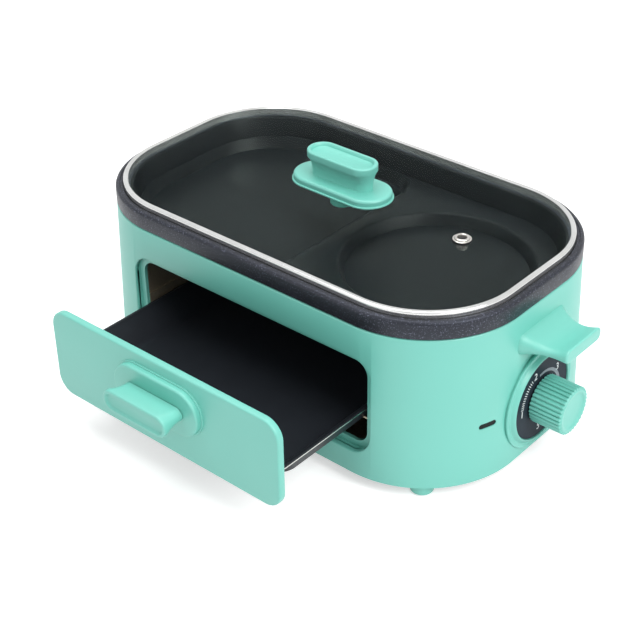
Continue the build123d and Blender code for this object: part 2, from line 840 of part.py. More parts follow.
def base_plate():
    inset = shell_wall - base_flare + slide_gap
    plate = prism(inset, shell_bottom, base_plate_top)
    for row in (-1, 1):
        for step in range(vent_slot_count):
            x = (step - (vent_slot_count - 1) / 2) * vent_slot_pitch
            slot = Pos(x, row * vent_slot_length * 0.75, shell_bottom)
            slot = slot * Rot(0, 0, 90) * SlotOverall(vent_slot_length, vent_slot_width)
            plate -= extrude(slot, amount=base_plate_thickness)
    for x, y in boss_places:
        plate -= upright(screw_radius + seat_gap, 0, base_plate_top, x, y)
    return plate


def feet():
    solids = []
    for x, y in foot_places:
        foot = upright(foot_radius, foot_pad_rise, shell_bottom, x, y)
        foot = fillet(foot.edges().group_by(Axis.Z)[0], 1.0)
        solids.append(foot - upright(foot_pad_radius + seat_gap / 2, 0, foot_pad_rise + foot_pad_seat, x, y))
    return Compound(children=solids)


def foot_pads():
    top = foot_pad_rise + foot_pad_seat - seat_gap / 2
    return Compound(children=[upright(foot_pad_radius, 0, top, x, y) for x, y in foot_places])


def base_screws():
    length = base_plate_thickness + 0.75 * boss_height
    one = screw(screw_radius, screw_head_radius, screw_head_height, length)
    return Compound(children=[Pos(x, y, shell_bottom) * one for x, y in boss_places])


gland_wall = body_width / 2 + flare_at(gland_height_above_table + gland_flange_radius)
gland_outer = gland_wall - shell_wall - 4.0 + gland_length


def terminal_block():
    """A ceramic strip with three lead channels, on the base plate near the gland."""
    half = terminal_length / 2
    x = boss_x - boss_radius - terminal_boss_gap - half
    y = liner_back + liner_sheet + terminal_gap
    block = slab(x - half, x + half, y, y + terminal_width, base_plate_top, base_plate_top + terminal_height)
    block = fillet(block.edges().filter_by(Axis.Z), 1.0)
    for step in (-1, 0, 1):
        lead = Pos(x + step * terminal_length / 3.4, y - 1, base_plate_top + terminal_height / 2)
        block -= extrude(lead * Rot(-90, 0, 0) * Circle(terminal_slot), amount=terminal_width + 2)
    return block


def thermal_cutout():
    """A small safety switch seated on the roof of the oven chamber."""
    low = liner_high + liner_sheet
    half_x = cutout_length / 2
    half_y = cutout_width / 2
    body = slab(-half_x, half_x, -half_y, half_y, low, low + 1.0)
    return body + upright(cutout_width / 2 - 0.5, low, low + cutout_height, 0, 0)


def cord_gland():
    """A flanged bush in the back wall, bored for the supply lead."""
    back = Pos(gland_offset, 0, gland_height_above_table) * Rot(-90, 0, 0)
    inner = gland_wall - shell_wall - 4.0
    outer = gland_outer
    bush = back * upright(gland_radius, inner, outer, 0, 0)
    flange_start = body_width / 2 - 6.0
    flange_end = gland_wall + 3.0
    flange = back * upright(gland_flange_radius, flange_start, flange_end, 0, 0)
    flange -= envelope(seat_gap)
    nut = back * upright(gland_flange_radius, inner - 3.0, inner, 0, 0)
    bore = back * upright(cord_radius + 0.2, inner - 10, outer + 10, 0, 0)
    return bush + flange + nut - bore


whole_shell = housing_shell()
parts = {
    "housing_front": shell_section(whole_shell, 0, -1),
    "housing_back": shell_section(whole_shell, 0, 1),
    "housing_end_right": shell_section(whole_shell, 1, 0),
    "housing_end_left": shell_section(whole_shell, -1, 0),
    "drawer_opening_frame": opening_frame(),
    "base_plate": base_plate(),
    "feet": feet(),
    "foot_pads": foot_pads(),
    "base_screws": base_screws(),
    "side_handle_right": side_handle(1),
    "side_handle_left": side_handle(-1),
    "side_handle_screws": side_screws(),
    "oven_liner": oven_liner(),
    "liner_stands": liner_stands(),
    "drawer_rail_right": drawer_rail(1),
    "drawer_rail_left": drawer_rail(-1),
    "lower_heater": heating_rod(lower_heater_z),
    "upper_heater": heating_rod(upper_heater_z),
    "heater_insulators": insulators(),
    "griddle_heater": griddle_heater(),
    "griddle_heater_clips": heater_clips(),
    "griddle_pan": pan(),
    "pan_gasket": gasket(),
    "dial_bezel": dial_bezel(),
    "dial_plate": dial_plate(),
    "heat_control": heat_control(),
    "heat_control_nut": control_nut(),
    "indicator_lens": indicator_lens(),
    "indicator_lamp": indicator_lamp(),
    "cord_gland": cord_gland(),
    "terminal_block": terminal_block(),
    "thermal_cutout": thermal_cutout(),
    "control_knob": control_knob(),
    "control_shaft": control_shaft(),
    "drawer_front": drawer_front(),
    "drawer_tray": drawer_tray(),
    "drawer_handle_base": on_front(
        handle_base(drawer_base_width, screw_radius, screw_xs), front_face_rest
    ),
    "drawer_handle_grip": on_front(
        handle_grip(drawer_grip_height, drawer_grip_face_width, drawer_grip_neck_width, screw_radius, screw_xs),
        front_face_rest - handle_base_thickness,
    ),
    "drawer_handle_screws": drawer_screws(),
    "lid_glass": lid_glass(),
    "lid_rim": lid_rim(),
    "lid_handle_base": Pos(0, 0, lid_base_seat) * handle_base(lid_base_width, handle_screw_radius, (0.0,)),
    "lid_handle_grip": Pos(0, 0, lid_grip_seat)
    * handle_grip(lid_grip_height, lid_grip_face_width, lid_grip_neck_width, handle_screw_radius, (0.0,)),
    "lid_handle_screw": lid_screw(),
    "lid_handle_boss": lid_boss(),
    "vent_eyelet": vent_eyelet(),
}

front_reach = drawer_grip_height + handle_base_thickness - front_face_rest
row_shift = (front_reach - gland_outer) / 2
for name, shape in parts.items():
    export_step(Pos(0, row_shift, 0) * shape, f"parts/{name}.step")
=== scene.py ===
"""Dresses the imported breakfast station: its pieces, finishes, light and camera."""
import json
import logging
import math
from dataclasses import dataclass, field
from enum import Enum
from typing import Callable, Iterable, Sequence

import bmesh
import bpy
from mathutils import Matrix, Vector


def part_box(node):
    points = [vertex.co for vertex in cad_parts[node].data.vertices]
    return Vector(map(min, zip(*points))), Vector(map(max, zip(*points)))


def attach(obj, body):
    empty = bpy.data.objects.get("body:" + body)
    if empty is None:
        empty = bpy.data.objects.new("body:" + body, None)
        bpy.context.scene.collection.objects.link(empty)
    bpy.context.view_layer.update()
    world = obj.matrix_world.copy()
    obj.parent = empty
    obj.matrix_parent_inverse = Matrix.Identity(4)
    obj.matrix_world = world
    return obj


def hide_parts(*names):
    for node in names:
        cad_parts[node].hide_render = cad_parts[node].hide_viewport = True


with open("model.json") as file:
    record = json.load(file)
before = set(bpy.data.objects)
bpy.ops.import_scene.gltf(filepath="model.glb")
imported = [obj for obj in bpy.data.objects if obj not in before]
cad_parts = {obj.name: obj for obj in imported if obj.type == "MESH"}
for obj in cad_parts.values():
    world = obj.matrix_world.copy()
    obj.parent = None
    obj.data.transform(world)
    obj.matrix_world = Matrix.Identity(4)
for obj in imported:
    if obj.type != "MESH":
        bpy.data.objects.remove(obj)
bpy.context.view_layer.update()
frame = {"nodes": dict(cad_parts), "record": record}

MM = 0.001
# How near counts as meeting, in millimetres: a limit, a level, a line and an outline
HAIR = 0.01
LEVEL = 0.02
NEAR = 0.1
OUTLINE = 0.3
# What share of a direction counts as running along an axis, and as running level
STRAIGHT = 0.9
FLAT = 0.1
LOG = logging.getLogger("breakfast_station")

Colour = tuple[float, float, float]
Place = tuple[float, float, float]
Item = bpy.types.Object
Material = bpy.types.Material
Socket = bpy.types.NodeSocket
Test = Callable[[Vector, Vector], bool]
Spot = Callable[[Vector], bool]


def linear(code: str) -> Colour:
    """Turns a six-digit screen colour into linear light.

    Args:
        code: The colour as six hexadecimal digits.

    Returns:
        The red, green and blue light, from 0 to 1.
    """
    shares = [int(code[k : k + 2], 16) / 255 for k in (0, 2, 4)]
    return tuple(s / 12.92 if s <= 0.04045 else ((s + 0.055) / 1.055) ** 2.4 for s in shares)


class Pick(Enum):
    """Which elements of a mesh an edit works on."""

    VERTS = "VERT"
    EDGES = "EDGE"
    FACES = "FACE"


class Slot(Enum):
    """The names of the record's material slots."""

    BODY = "turquoise_plastic"
    PAN = "pan_coating"
    STEEL = "plain_steel"
    GLASS = "lid_glass"
    TRAY = "tray_enamel"
    DIAL = "dial_face"
    RUBBER = "rubber"


def select_nothing() -> None:
    """Clears the selection, which loading the frame leaves on its nodes."""
    if bpy.context.mode != "OBJECT":
        bpy.ops.object.mode_set(mode="OBJECT")
    bpy.ops.object.select_all(action="DESELECT")


def apply_place() -> None:
    """Puts the selected object's place, turn and scale into its mesh."""
    bpy.ops.object.transform_apply(location=True, rotation=True, scale=True)


class Workpiece:
    """A mesh on the bench, in millimetres, shaped with the edit-mode operators."""

    def __init__(self, name: str) -> None:
        """Takes the primitive that was just added.

        Args:
            name: The name of the finished piece.
        """
        self.object = bpy.context.active_object
        self.object.name = name
        self.object.data.name = name

    @classmethod
    def block(cls, name: str, low: Sequence[float], high: Sequence[float]) -> "Workpiece":
        """Adds a block between two corners.

        Args:
            name: The name of the piece.
            low: The lowest corner.
            high: The highest corner.

        Returns:
            The block, ready for shaping.
        """
        select_nothing()
        centre = [(a + b) / 2 for a, b in zip(low, high)]
        bpy.ops.mesh.primitive_cube_add(size=1, location=centre)
        bpy.context.active_object.scale = [b - a for a, b in zip(low, high)]
        apply_place()
        return cls(name)

    @classmethod
    def drum(
        cls, name: str, radius: float, low: float, high: float, sides: int = 96
    ) -> "Workpiece":
        """Adds an upright drum round the Z axis.

        Args:
            name: The name of the piece.
            radius: Its radius.
            low: The height of its foot.
            high: The height of its top.
            sides: How many sides it has.

        Returns:
            The drum, ready for shaping.
        """
        select_nothing()
        bpy.ops.mesh.primitive_cylinder_add(
            vertices=sides, radius=radius, depth=high - low, location=(0, 0, (low + high) / 2)
        )
        apply_place()
        return cls(name)

    @classmethod
    def rounded(
        cls,
        name: str,
        half_x: float,
        half_y: float,
        corner: float,
        low: float,
        high: float,
        steps: int = 24,
    ) -> "Workpiece":
        """Adds an upright block with rounded corners, centred on the Z axis.

        Args:
            name: The name of the piece.
            half_x: Half its length.
            half_y: Half its width.
            corner: The radius of its four upright edges.
            low: The height of its foot.
            high: The height of its top.
            steps: How many faces round each corner.

        Returns:
            The block, ready for shaping.
        """
        piece = cls.block(name, (-half_x, -half_y, low), (half_x, half_y, high))
        piece.pick_upright()
        piece.bevel(corner, steps)
        return piece

    def hold(self) -> None:
        """Leaves edit mode and selects this piece alone."""
        select_nothing()
        self.object.select_set(True)
        bpy.context.view_layer.objects.active = self.object

    def edit(self, kind: Pick = Pick.FACES) -> None:
        """Opens the piece in edit mode with one kind of element.

        Args:
            kind: The kind of element that is picked next.
        """
        if bpy.context.mode != "EDIT_MESH":
            self.hold()
            bpy.ops.object.mode_set(mode="EDIT")
        bpy.ops.mesh.select_mode(type=kind.value)

    def pick(self, kind: Pick, test: Test) -> None:
        """Selects the elements whose place and direction pass a test.

        Args:
            kind: Which elements are looked at.
            test: Gets an element's centre and its direction: a face's normal,
                an edge's unit run, or a vertex's normal.
        """
        self.edit(kind)
        bpy.ops.mesh.select_all(action="DESELECT")
        mesh = bmesh.from_edit_mesh(self.object.data)
        if kind is Pick.VERTS:
            found = [v for v in mesh.verts if test(v.co, v.normal)]
        elif kind is Pick.EDGES:
            found = []
            for edge in mesh.edges:
                a, b = edge.verts[0].co, edge.verts[1].co
                if test((a + b) / 2, (b - a).normalized()):
                    found.append(edge)
        else:
            mesh.normal_update()
            found = [f for f in mesh.faces if test(f.calc_center_median(), f.normal)]
        for element in found:
            element.select = True
        mesh.select_flush_mode()
        bmesh.update_edit_mesh(self.object.data)

    def pick_top(self) -> None:
        """Selects the highest flat faces that look up."""
        self.edit()
        top = max(v.co.z for v in bmesh.from_edit_mesh(self.object.data).verts)
        self.pick(Pick.FACES, lambda at, way: way.z > STRAIGHT and at.z > top - LEVEL)

    def pick_level(self, height: float, up: bool = True) -> None:
        """Selects the flat faces at one height.

        Args:
            height: The height of the faces.
            up: Whether they look up or down.
        """
        sign = 1 if up else -1
        self.pick(
            Pick.FACES,
            lambda at, way: way.z * sign > STRAIGHT and abs(at.z - height) < LEVEL,
        )

    def pick_edges_from(self, height: float) -> None:
        """Selects the edges at a height or above it."""
        self.pick(Pick.EDGES, lambda at, way: at.z > height - HAIR)

    def pick_edges_to(self, height: float) -> None:
        """Selects the edges at a height or below it."""
        self.pick(Pick.EDGES, lambda at, way: at.z < height + HAIR)

    def pick_upright(self, test: Spot = lambda at: True) -> None:
        """Selects the upright edges whose middle passes a test."""
        self.pick(Pick.EDGES, lambda at, way: abs(way.z) > STRAIGHT and test(at))

    def pick_rim(self, heights: Sequence[float], test: Spot = lambda at: True) -> None:
        """Selects level edges.

        Args:
            heights: The heights that they may have.
            test: Gets an edge's middle, and says whether it is wanted.
        """

        def on_rim(at: Vector, way: Vector) -> bool:
            """Whether an edge runs level at one of the heights and passes the test."""
            level = any(abs(at.z - height) < LEVEL for height in heights)
            return level and abs(way.z) < FLAT and test(at)

        self.pick(Pick.EDGES, on_rim)

    def open_middle(self) -> None:
        """Deletes the level faces that lie across the piece's middle."""
        self.pick(
            Pick.FACES,
            lambda at, way: math.hypot(at.x, at.y) < NEAR and abs(way.z) > STRAIGHT,
        )
        bpy.ops.mesh.delete(type="FACE")

    def bevel(self, width: float, steps: int = 3, profile: float = 0.5) -> None:
        """Rounds the selected edges.

        Args:
            width: How wide the rounding is.
            steps: How many faces it takes.
            profile: Its shape, where 0.5 is round.
        """
        bpy.ops.mesh.bevel(
            offset=width, segments=steps, profile=profile, affect="EDGES", clamp_overlap=False
        )

    def inset(self, inwards: float, rise: float = 0.0) -> None:
        """Draws the selected faces in, and moves them along their normal.

        Args:
            inwards: How far the outline is drawn in.
            rise: How far the faces move out of the surface.
        """
        bpy.ops.mesh.inset(thickness=inwards, depth=rise, use_even_offset=True)

    def inset_steps(self, profile: Sequence[tuple[float, float]]) -> None:
        """Draws the selected faces in along a profile.

        Args:
            profile: Pairs of how far they are drawn in and how far they rise.
        """
        for inwards, rise in profile:
            self.inset(inwards, rise)

    def extrude(self, move: Sequence[float]) -> None:
        """Pulls the selected faces out along a move."""
        bpy.ops.mesh.extrude_region_move(TRANSFORM_OT_translate={"value": tuple(move)})

    def resize(self, factors: Sequence[float], about: Sequence[float] = (0, 0, 0)) -> None:
        """Scales what is selected about a point."""
        bpy.ops.transform.resize(value=tuple(factors), center_override=tuple(about))

    def move(self, way: Sequence[float]) -> None:
        """Moves what is selected."""
        bpy.ops.transform.translate(value=tuple(way))

    def close(self) -> None:
        """Leaves edit mode."""
        if bpy.context.mode != "OBJECT":
            bpy.ops.object.mode_set(mode="OBJECT")

    def turn(self, axis: str, degrees: float) -> None:
        """Turns the whole piece about a row axis through the origin.

        Args:
            axis: X, Y or Z.
            degrees: The turn by the right-hand rule.
        """
        self.hold()
        turned = Matrix.Rotation(math.radians(degrees), 4, axis)
        self.object.matrix_world = turned @ self.object.matrix_world
        apply_place()

    def shift(self, way: Sequence[float]) -> None:
        """Moves the whole piece and keeps its object at the origin."""
        self.hold()
        self.object.location = way
        apply_place()

    def copy(self, name: str) -> "Workpiece":
        """Makes a second piece with a mesh of its own."""
        self.close()
        twin = self.object.copy()
        twin.data = self.object.data.copy()
        bpy.context.scene.collection.objects.link(twin)
        bpy.context.view_layer.objects.active = twin
        return Workpiece(name)

    def mirror_x(self) -> None:
        """Turns the piece into its mirror image across the YZ plane."""
        self.hold()
        self.object.scale = (-1, 1, 1)
        apply_place()
        self.pick(Pick.FACES, lambda at, way: True)
        bpy.ops.mesh.normals_make_consistent(inside=False)
        self.close()

    def join(self, others: Iterable["Workpiece"]) -> None:
        """Joins other pieces into this one."""
        self.hold()
        for other in others:
            other.object.select_set(True)
        bpy.ops.object.join()

    def cut(self, cutter: "Workpiece") -> None:
        """Takes another piece's volume out of this one.

        Args:
            cutter: The piece that is cut away, which is deleted afterwards.
        """
        self.hold()
        tool = self.object.modifiers.new("cut", "BOOLEAN")
        tool.operation = "DIFFERENCE"
        tool.solver = "EXACT"
        tool.object = cutter.object
        bpy.ops.object.modifier_apply(modifier=tool.name)
        bpy.data.objects.remove(cutter.object)

    def finish(
        self,
        material: Material,
        body: str,
        slot: Slot,
        nodes: Sequence[str] = (),
        smooth: float = 35.0,
    ) -> Item:
        """Brings the piece to the row frame in metres and fits it to the model.

        Args:
            material: Its finish.
            body: The moving body it rides on.
            slot: The record's material slot for the piece; not used.
            nodes: The CAD nodes that it stands for.
            smooth: The angle in degrees under which edges shade smoothly.

        Returns:
            The finished object.
        """
        self.hold()
        item = self.object
        item.scale = (MM, MM, MM)
        item.location = (0, STATION.row_shift * MM, 0)
        apply_place()
        bpy.ops.object.shade_smooth_by_angle(angle=math.radians(smooth))
        item.data.materials.clear()
        item.data.materials.append(material)
        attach(item, body)
        if nodes:
            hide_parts(*nodes)
        return item


class Finish:
    """A procedural material, built from a small node tree."""

    def __init__(self, name: str) -> None:
        """Starts the material.

        Args:
            name: The material's name.
        """
        self.material = bpy.data.materials.new(name)
        self.material.use_nodes = True
        self.tree = self.material.node_tree
        self.shader = self.tree.nodes["Principled BSDF"]
        self.output = self.tree.nodes["Material Output"]
        self.place = self.tree.nodes.new("ShaderNodeTexCoord")

    def node(self, kind: str, **inputs: float) -> bpy.types.Node:
        """Adds a node and sets its inputs by name.

        Args:
            kind: The node's type.
            inputs: Values by socket name, with underscores for spaces.

        Returns:
            The new node.
        """
        made = self.tree.nodes.new(kind)
        for socket, value in inputs.items():
            made.inputs[socket.replace("_", " ")].default_value = value
        return made

    def link(self, source: Socket, target: Socket) -> None:
        """Joins two sockets."""
        self.tree.links.new(source, target)

    def noise(self, scale: float, detail: float = 3.0, roughness: float = 0.55) -> Socket:
        """A noise that is fixed to the piece.

        Args:
            scale: Its scale, per metre.
            detail: Its number of octaves.
            roughness: How strong the fine octaves are.

        Returns:
            The noise's factor.
        """
        cloud = self.node("ShaderNodeTexNoise", Scale=scale, Detail=detail, Roughness=roughness)
        self.link(self.place.outputs["Object"], cloud.inputs["Vector"])
        return cloud.outputs["Fac"]

    def spread(self, factor: Socket, low: float, high: float) -> Socket:
        """Maps a factor from 0..1 to a range."""
        ramp = self.node("ShaderNodeMapRange", To_Min=low, To_Max=high)
        self.link(factor, ramp.inputs["Value"])
        return ramp.outputs["Result"]

    def tint(self, factor: Socket, stops: Sequence[tuple[float, Colour]]) -> Socket:
        """Colours a factor.

        Args:
            factor: What is coloured.
            stops: Places from 0 to 1 with their colours.

        Returns:
            The colour socket.
        """
        ramp = self.node("ShaderNodeValToRGB")
        points = ramp.color_ramp.elements
        while len(points) < len(stops):
            points.new(0.5)
        for point, (place, colour) in zip(points, stops):
            point.position = place
            point.color = (*colour, 1.0)
        self.link(factor, ramp.inputs["Fac"])
        return ramp.outputs["Color"]

    def bump(self, factor: Socket, strength: float, height_mm: float) -> None:
        """Gives the surface a fine relief.

        Args:
            factor: The height pattern.
            strength: How much it shows.
            height_mm: How high it stands.
        """
        relief = self.node("ShaderNodeBump", Strength=strength, Distance=height_mm * MM)
        self.link(factor, relief.inputs["Height"])
        self.link(relief.outputs["Normal"], self.shader.inputs["Normal"])

    def set(self, **values: float | Sequence[float]) -> None:
        """Sets the shader's own sockets, with underscores for spaces."""
        for socket, value in values.items():
            self.shader.inputs[socket.replace("_", " ")].default_value = value

    def feed(self, **sources: Socket) -> None:
        """Links patterns to the shader's sockets, with underscores for spaces."""
        for socket, source in sources.items():
            self.link(source, self.shader.inputs[socket.replace("_", " ")])


@dataclass(frozen=True)
class MouldedPlastic:
    """Satin plastic with a faint cloudiness and a fine moulded grain."""

    name: str = "satin_turquoise"
    base: str = "6fc3b5"
    shade: str = "6bbeb0"
    roughness: float = 0.42
    grain: float = 0.05
    refraction: float = 1.7

    def build(self) -> Material:
        """Builds the material."""
        finish = Finish(self.name)
        stops = ((0.3, linear(self.shade)), (0.7, linear(self.base)))
        finish.feed(
            Base_Color=finish.tint(finish.noise(9.0, 2.0), stops),
            Roughness=finish.spread(
                finish.noise(60.0), self.roughness - 0.03, self.roughness + 0.04
            ),
        )
        finish.bump(finish.noise(1400.0, 2.0), self.grain, 0.05)
        finish.set(IOR=self.refraction)
        return finish.material


@dataclass(frozen=True)
class CastCoating:
    """Dark non-stick coating on a casting, with pale specks and a pebbled skin."""

    name: str = "speckled_coating"
    base: str = "17181c"
    speck: str = "6d7182"
    sheen: str = "d9e0f5"
    scale: float = 1100.0
    roughness: float = 0.42
    relief: float = 0.35
    gloss: float = 0.5

    def build(self) -> Material:
        """Builds the material."""
        finish = Finish(self.name)
        finish.set(Specular_IOR_Level=self.gloss, Specular_Tint=(*linear(self.sheen), 1.0))
        base, speck = linear(self.base), linear(self.speck)
        stops = ((0.0, base), (0.58, base), (0.72, speck))
        finish.feed(
            Base_Color=finish.tint(finish.noise(self.scale, 2.0, 0.7), stops),
            Roughness=finish.spread(
                finish.noise(220.0), self.roughness - 0.06, self.roughness + 0.1
            ),
        )
        finish.bump(finish.noise(self.scale * 0.6, 3.0), self.relief, 0.12)
        return finish.material


@dataclass(frozen=True)
class SheetMetal:
    """Bare metal with a drawn or brushed grain."""

    name: str
    base: str
    roughness: float
    grain: float = 0.1
    stretch: Place = (40.0, 900.0, 900.0)
    metallic: float = 1.0

    def build(self) -> Material:
        """Builds the material."""
        finish = Finish(self.name)
        stretch = finish.node("ShaderNodeMapping", Scale=self.stretch)
        finish.link(finish.place.outputs["Object"], stretch.inputs["Vector"])
        lines = finish.node("ShaderNodeTexNoise", Scale=1.0, Detail=3.0)
        finish.link(stretch.outputs["Vector"], lines.inputs["Vector"])
        pale = linear(self.base)
        dark = tuple(0.86 * c for c in pale)
        grain = lines.outputs["Fac"]
        finish.feed(
            Base_Color=finish.tint(grain, ((0.3, dark), (0.7, pale))),
            Roughness=finish.spread(grain, self.roughness * 0.8, self.roughness * 1.25),
        )
        finish.bump(grain, self.grain, 0.03)
        finish.set(Metallic=self.metallic)
        return finish.material


@dataclass(frozen=True)
class ClearGlass:
    """Tempered glass with a faint green cast, which lets light through its shadow."""

    name: str = "lid_glass"
    tint: str = "eef6f3"
    refraction: float = 1.02

    def build(self) -> Material:
        """Builds the material."""
        finish = Finish(self.name)
        finish.feed(Roughness=finish.spread(finish.noise(14.0, 2.0), 0.0, 0.03))
        finish.set(
            IOR=self.refraction,
            Transmission_Weight=1.0,
            Base_Color=(*linear(self.tint), 1.0),
        )
        path = finish.node("ShaderNodeLightPath")
        clear = finish.node("ShaderNodeBsdfTransparent")
        mix = finish.node("ShaderNodeMixShader")
        finish.link(path.outputs["Is Shadow Ray"], mix.inputs[0])
        finish.link(finish.shader.outputs[0], mix.inputs[1])
        finish.link(clear.outputs[0], mix.inputs[2])
        finish.link(mix.outputs[0], finish.output.inputs["Surface"])
        return finish.material


@dataclass(frozen=True)
class PaintedFace:
    """A painted or enamelled surface with a slight mottle."""

    name: str
    base: str
    roughness: float
    mottle: float = 0.12
    grain: float = 0.05
    gloss: float = 0.2

    def build(self) -> Material:
        """Builds the material."""
        finish = Finish(self.name)
        finish.set(Specular_IOR_Level=self.gloss)
        colour = linear(self.base)
        darker = tuple((1 - self.mottle) * c for c in colour)
        finish.feed(
            Base_Color=finish.tint(finish.noise(70.0), ((0.3, darker), (0.7, colour))),
            Roughness=finish.spread(
                finish.noise(150.0), self.roughness - 0.04, self.roughness + 0.06
            ),
        )
        finish.bump(finish.noise(900.0), self.grain, 0.05)
        return finish.material


# How often a drawn metal's grain repeats, per metre along each axis
DRAWN = (60.0, 60.0, 60.0)


def finished(
    look: MouldedPlastic | CastCoating | SheetMetal | ClearGlass | PaintedFace,
) -> Material:
    """A field of the palette, built together with it."""
    return field(default_factory=look.build)


@dataclass
class Palette:
    """Every finish on the station, built once."""

    body: Material = finished(MouldedPlastic())
    pan: Material = finished(CastCoating())
    pan_inside: Material = finished(
        CastCoating(
            "cooking_surface",
            base="131517",
            speck="1d2022",
            sheen="ffffff",
            scale=900.0,
            roughness=0.34,
            relief=0.04,
            gloss=0.12,
        )
    )
    rim: Material = finished(SheetMetal("polished_rim", "dcdddc", 0.16, 0.02, DRAWN, 0.85))
    steel: Material = finished(SheetMetal("plain_steel", "c9c8c4", 0.24))
    eyelet: Material = finished(SheetMetal("eyelet_steel", "d2cfca", 0.16, 0.02, DRAWN, 0.85))
    oven: Material = finished(SheetMetal("oven_sheet", "b3a692", 0.34, metallic=0.75))
    rod: Material = finished(SheetMetal("oxidised_rod", "5c5751", 0.5, 0.2))
    glass: Material = finished(ClearGlass())
    tray: Material = finished(PaintedFace("tray_enamel", "202328", 0.36))
    dial: Material = finished(PaintedFace("dial_face", "2b333c", 0.45, 0.06, 0.05, 0.05))
    marks: Material = finished(PaintedFace("dial_marks", "f4f7f8", 0.5, 0.02))
    soft_marks: Material = finished(PaintedFace("dial_soft_marks", "9aa3ab", 0.5, 0.02))
    dark: Material = finished(PaintedFace("dark_parts", "24262a", 0.5))
    rubber: Material = finished(PaintedFace("rubber", "202022", 0.75, 0.2, 0.15))
    ceramic: Material = finished(PaintedFace("ceramic", "e4ddd0", 0.6, 0.06))
    lens: Material = finished(PaintedFace("indicator_lens", "141a1a", 0.15, 0.05, 0.01, 0.12))
    lamp: Material = finished(PaintedFace("lamp_glass", "f0a070", 0.1, 0.05, 0.01))

    def by_slot(self) -> dict[str, Material]:
        """The finish for each of the record's material slots."""
        return {
            "turquoise_plastic": self.body,
            "rubber": self.rubber,
            "dark_sheet": self.dark,
            "plain_steel": self.steel,
            "oven_sheet": self.oven,
            "heater_rod": self.rod,
            "ceramic": self.ceramic,
            "dark_plastic": self.dark,
            "indicator": self.lens,
            "lamp_glass": self.lamp,
            "pan_coating": self.pan,
            "dial_face": self.dial,
            "tray_enamel": self.tray,
            "lid_glass": self.glass,
        }


def pan_centre() -> float:
    """How far the pan's centre stands behind the row's origin, in millimetres."""
    low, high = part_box("griddle_pan")
    return (low.y + high.y) / 2 / MM


@dataclass(frozen=True)
class StationSizes:
    """The sizes that several sub-assemblies share, in millimetres."""

    half_length: float = 165.0
    half_width: float = 100.0
    corner: float = 73.5
    base: float = 9.0
    top: float = 121.0
    flare: float = 3.0
    row_shift: float = field(default_factory=pan_centre)

    def wall_at(self, height: float) -> float:
        """How far the wall stands out past the top outline at a height."""
        return self.flare * (self.top - height) / (self.top - self.base)

    def corner_reach(self, x: float, y: float) -> float:
        """How far a point lies outside the rectangle through the corners' centres.

        Args:
            x: Its place along the length.
            y: Its place along the width.

        Returns:
            The distance, which is the corner's radius for a point on the outline.
        """
        across = max(abs(x) - (self.half_length - self.corner), 0)
        along = max(abs(y) - (self.half_width - self.corner), 0)
        return math.hypot(across, along)

    def at_inset(self, at: Vector, inset: float) -> bool:
        """Whether a point lies on the outline drawn in by an inset."""
        return abs(self.corner_reach(at.x, at.y) - (self.corner - inset)) < OUTLINE

    def outline(self, name: str, inset: float, low: float, high: float) -> Workpiece:
        """Adds a block with the station's rounded outline.

        Args:
            name: The name of the piece.
            inset: How far the outline is drawn in.
            low: The height of its foot.
            high: The height of its top.

        Returns:
            The block, ready for shaping.
        """
        half_x, half_y = self.half_length - inset, self.half_width - inset
        return Workpiece.rounded(name, half_x, half_y, self.corner - inset, low, high, 32)


STATION = StationSizes()


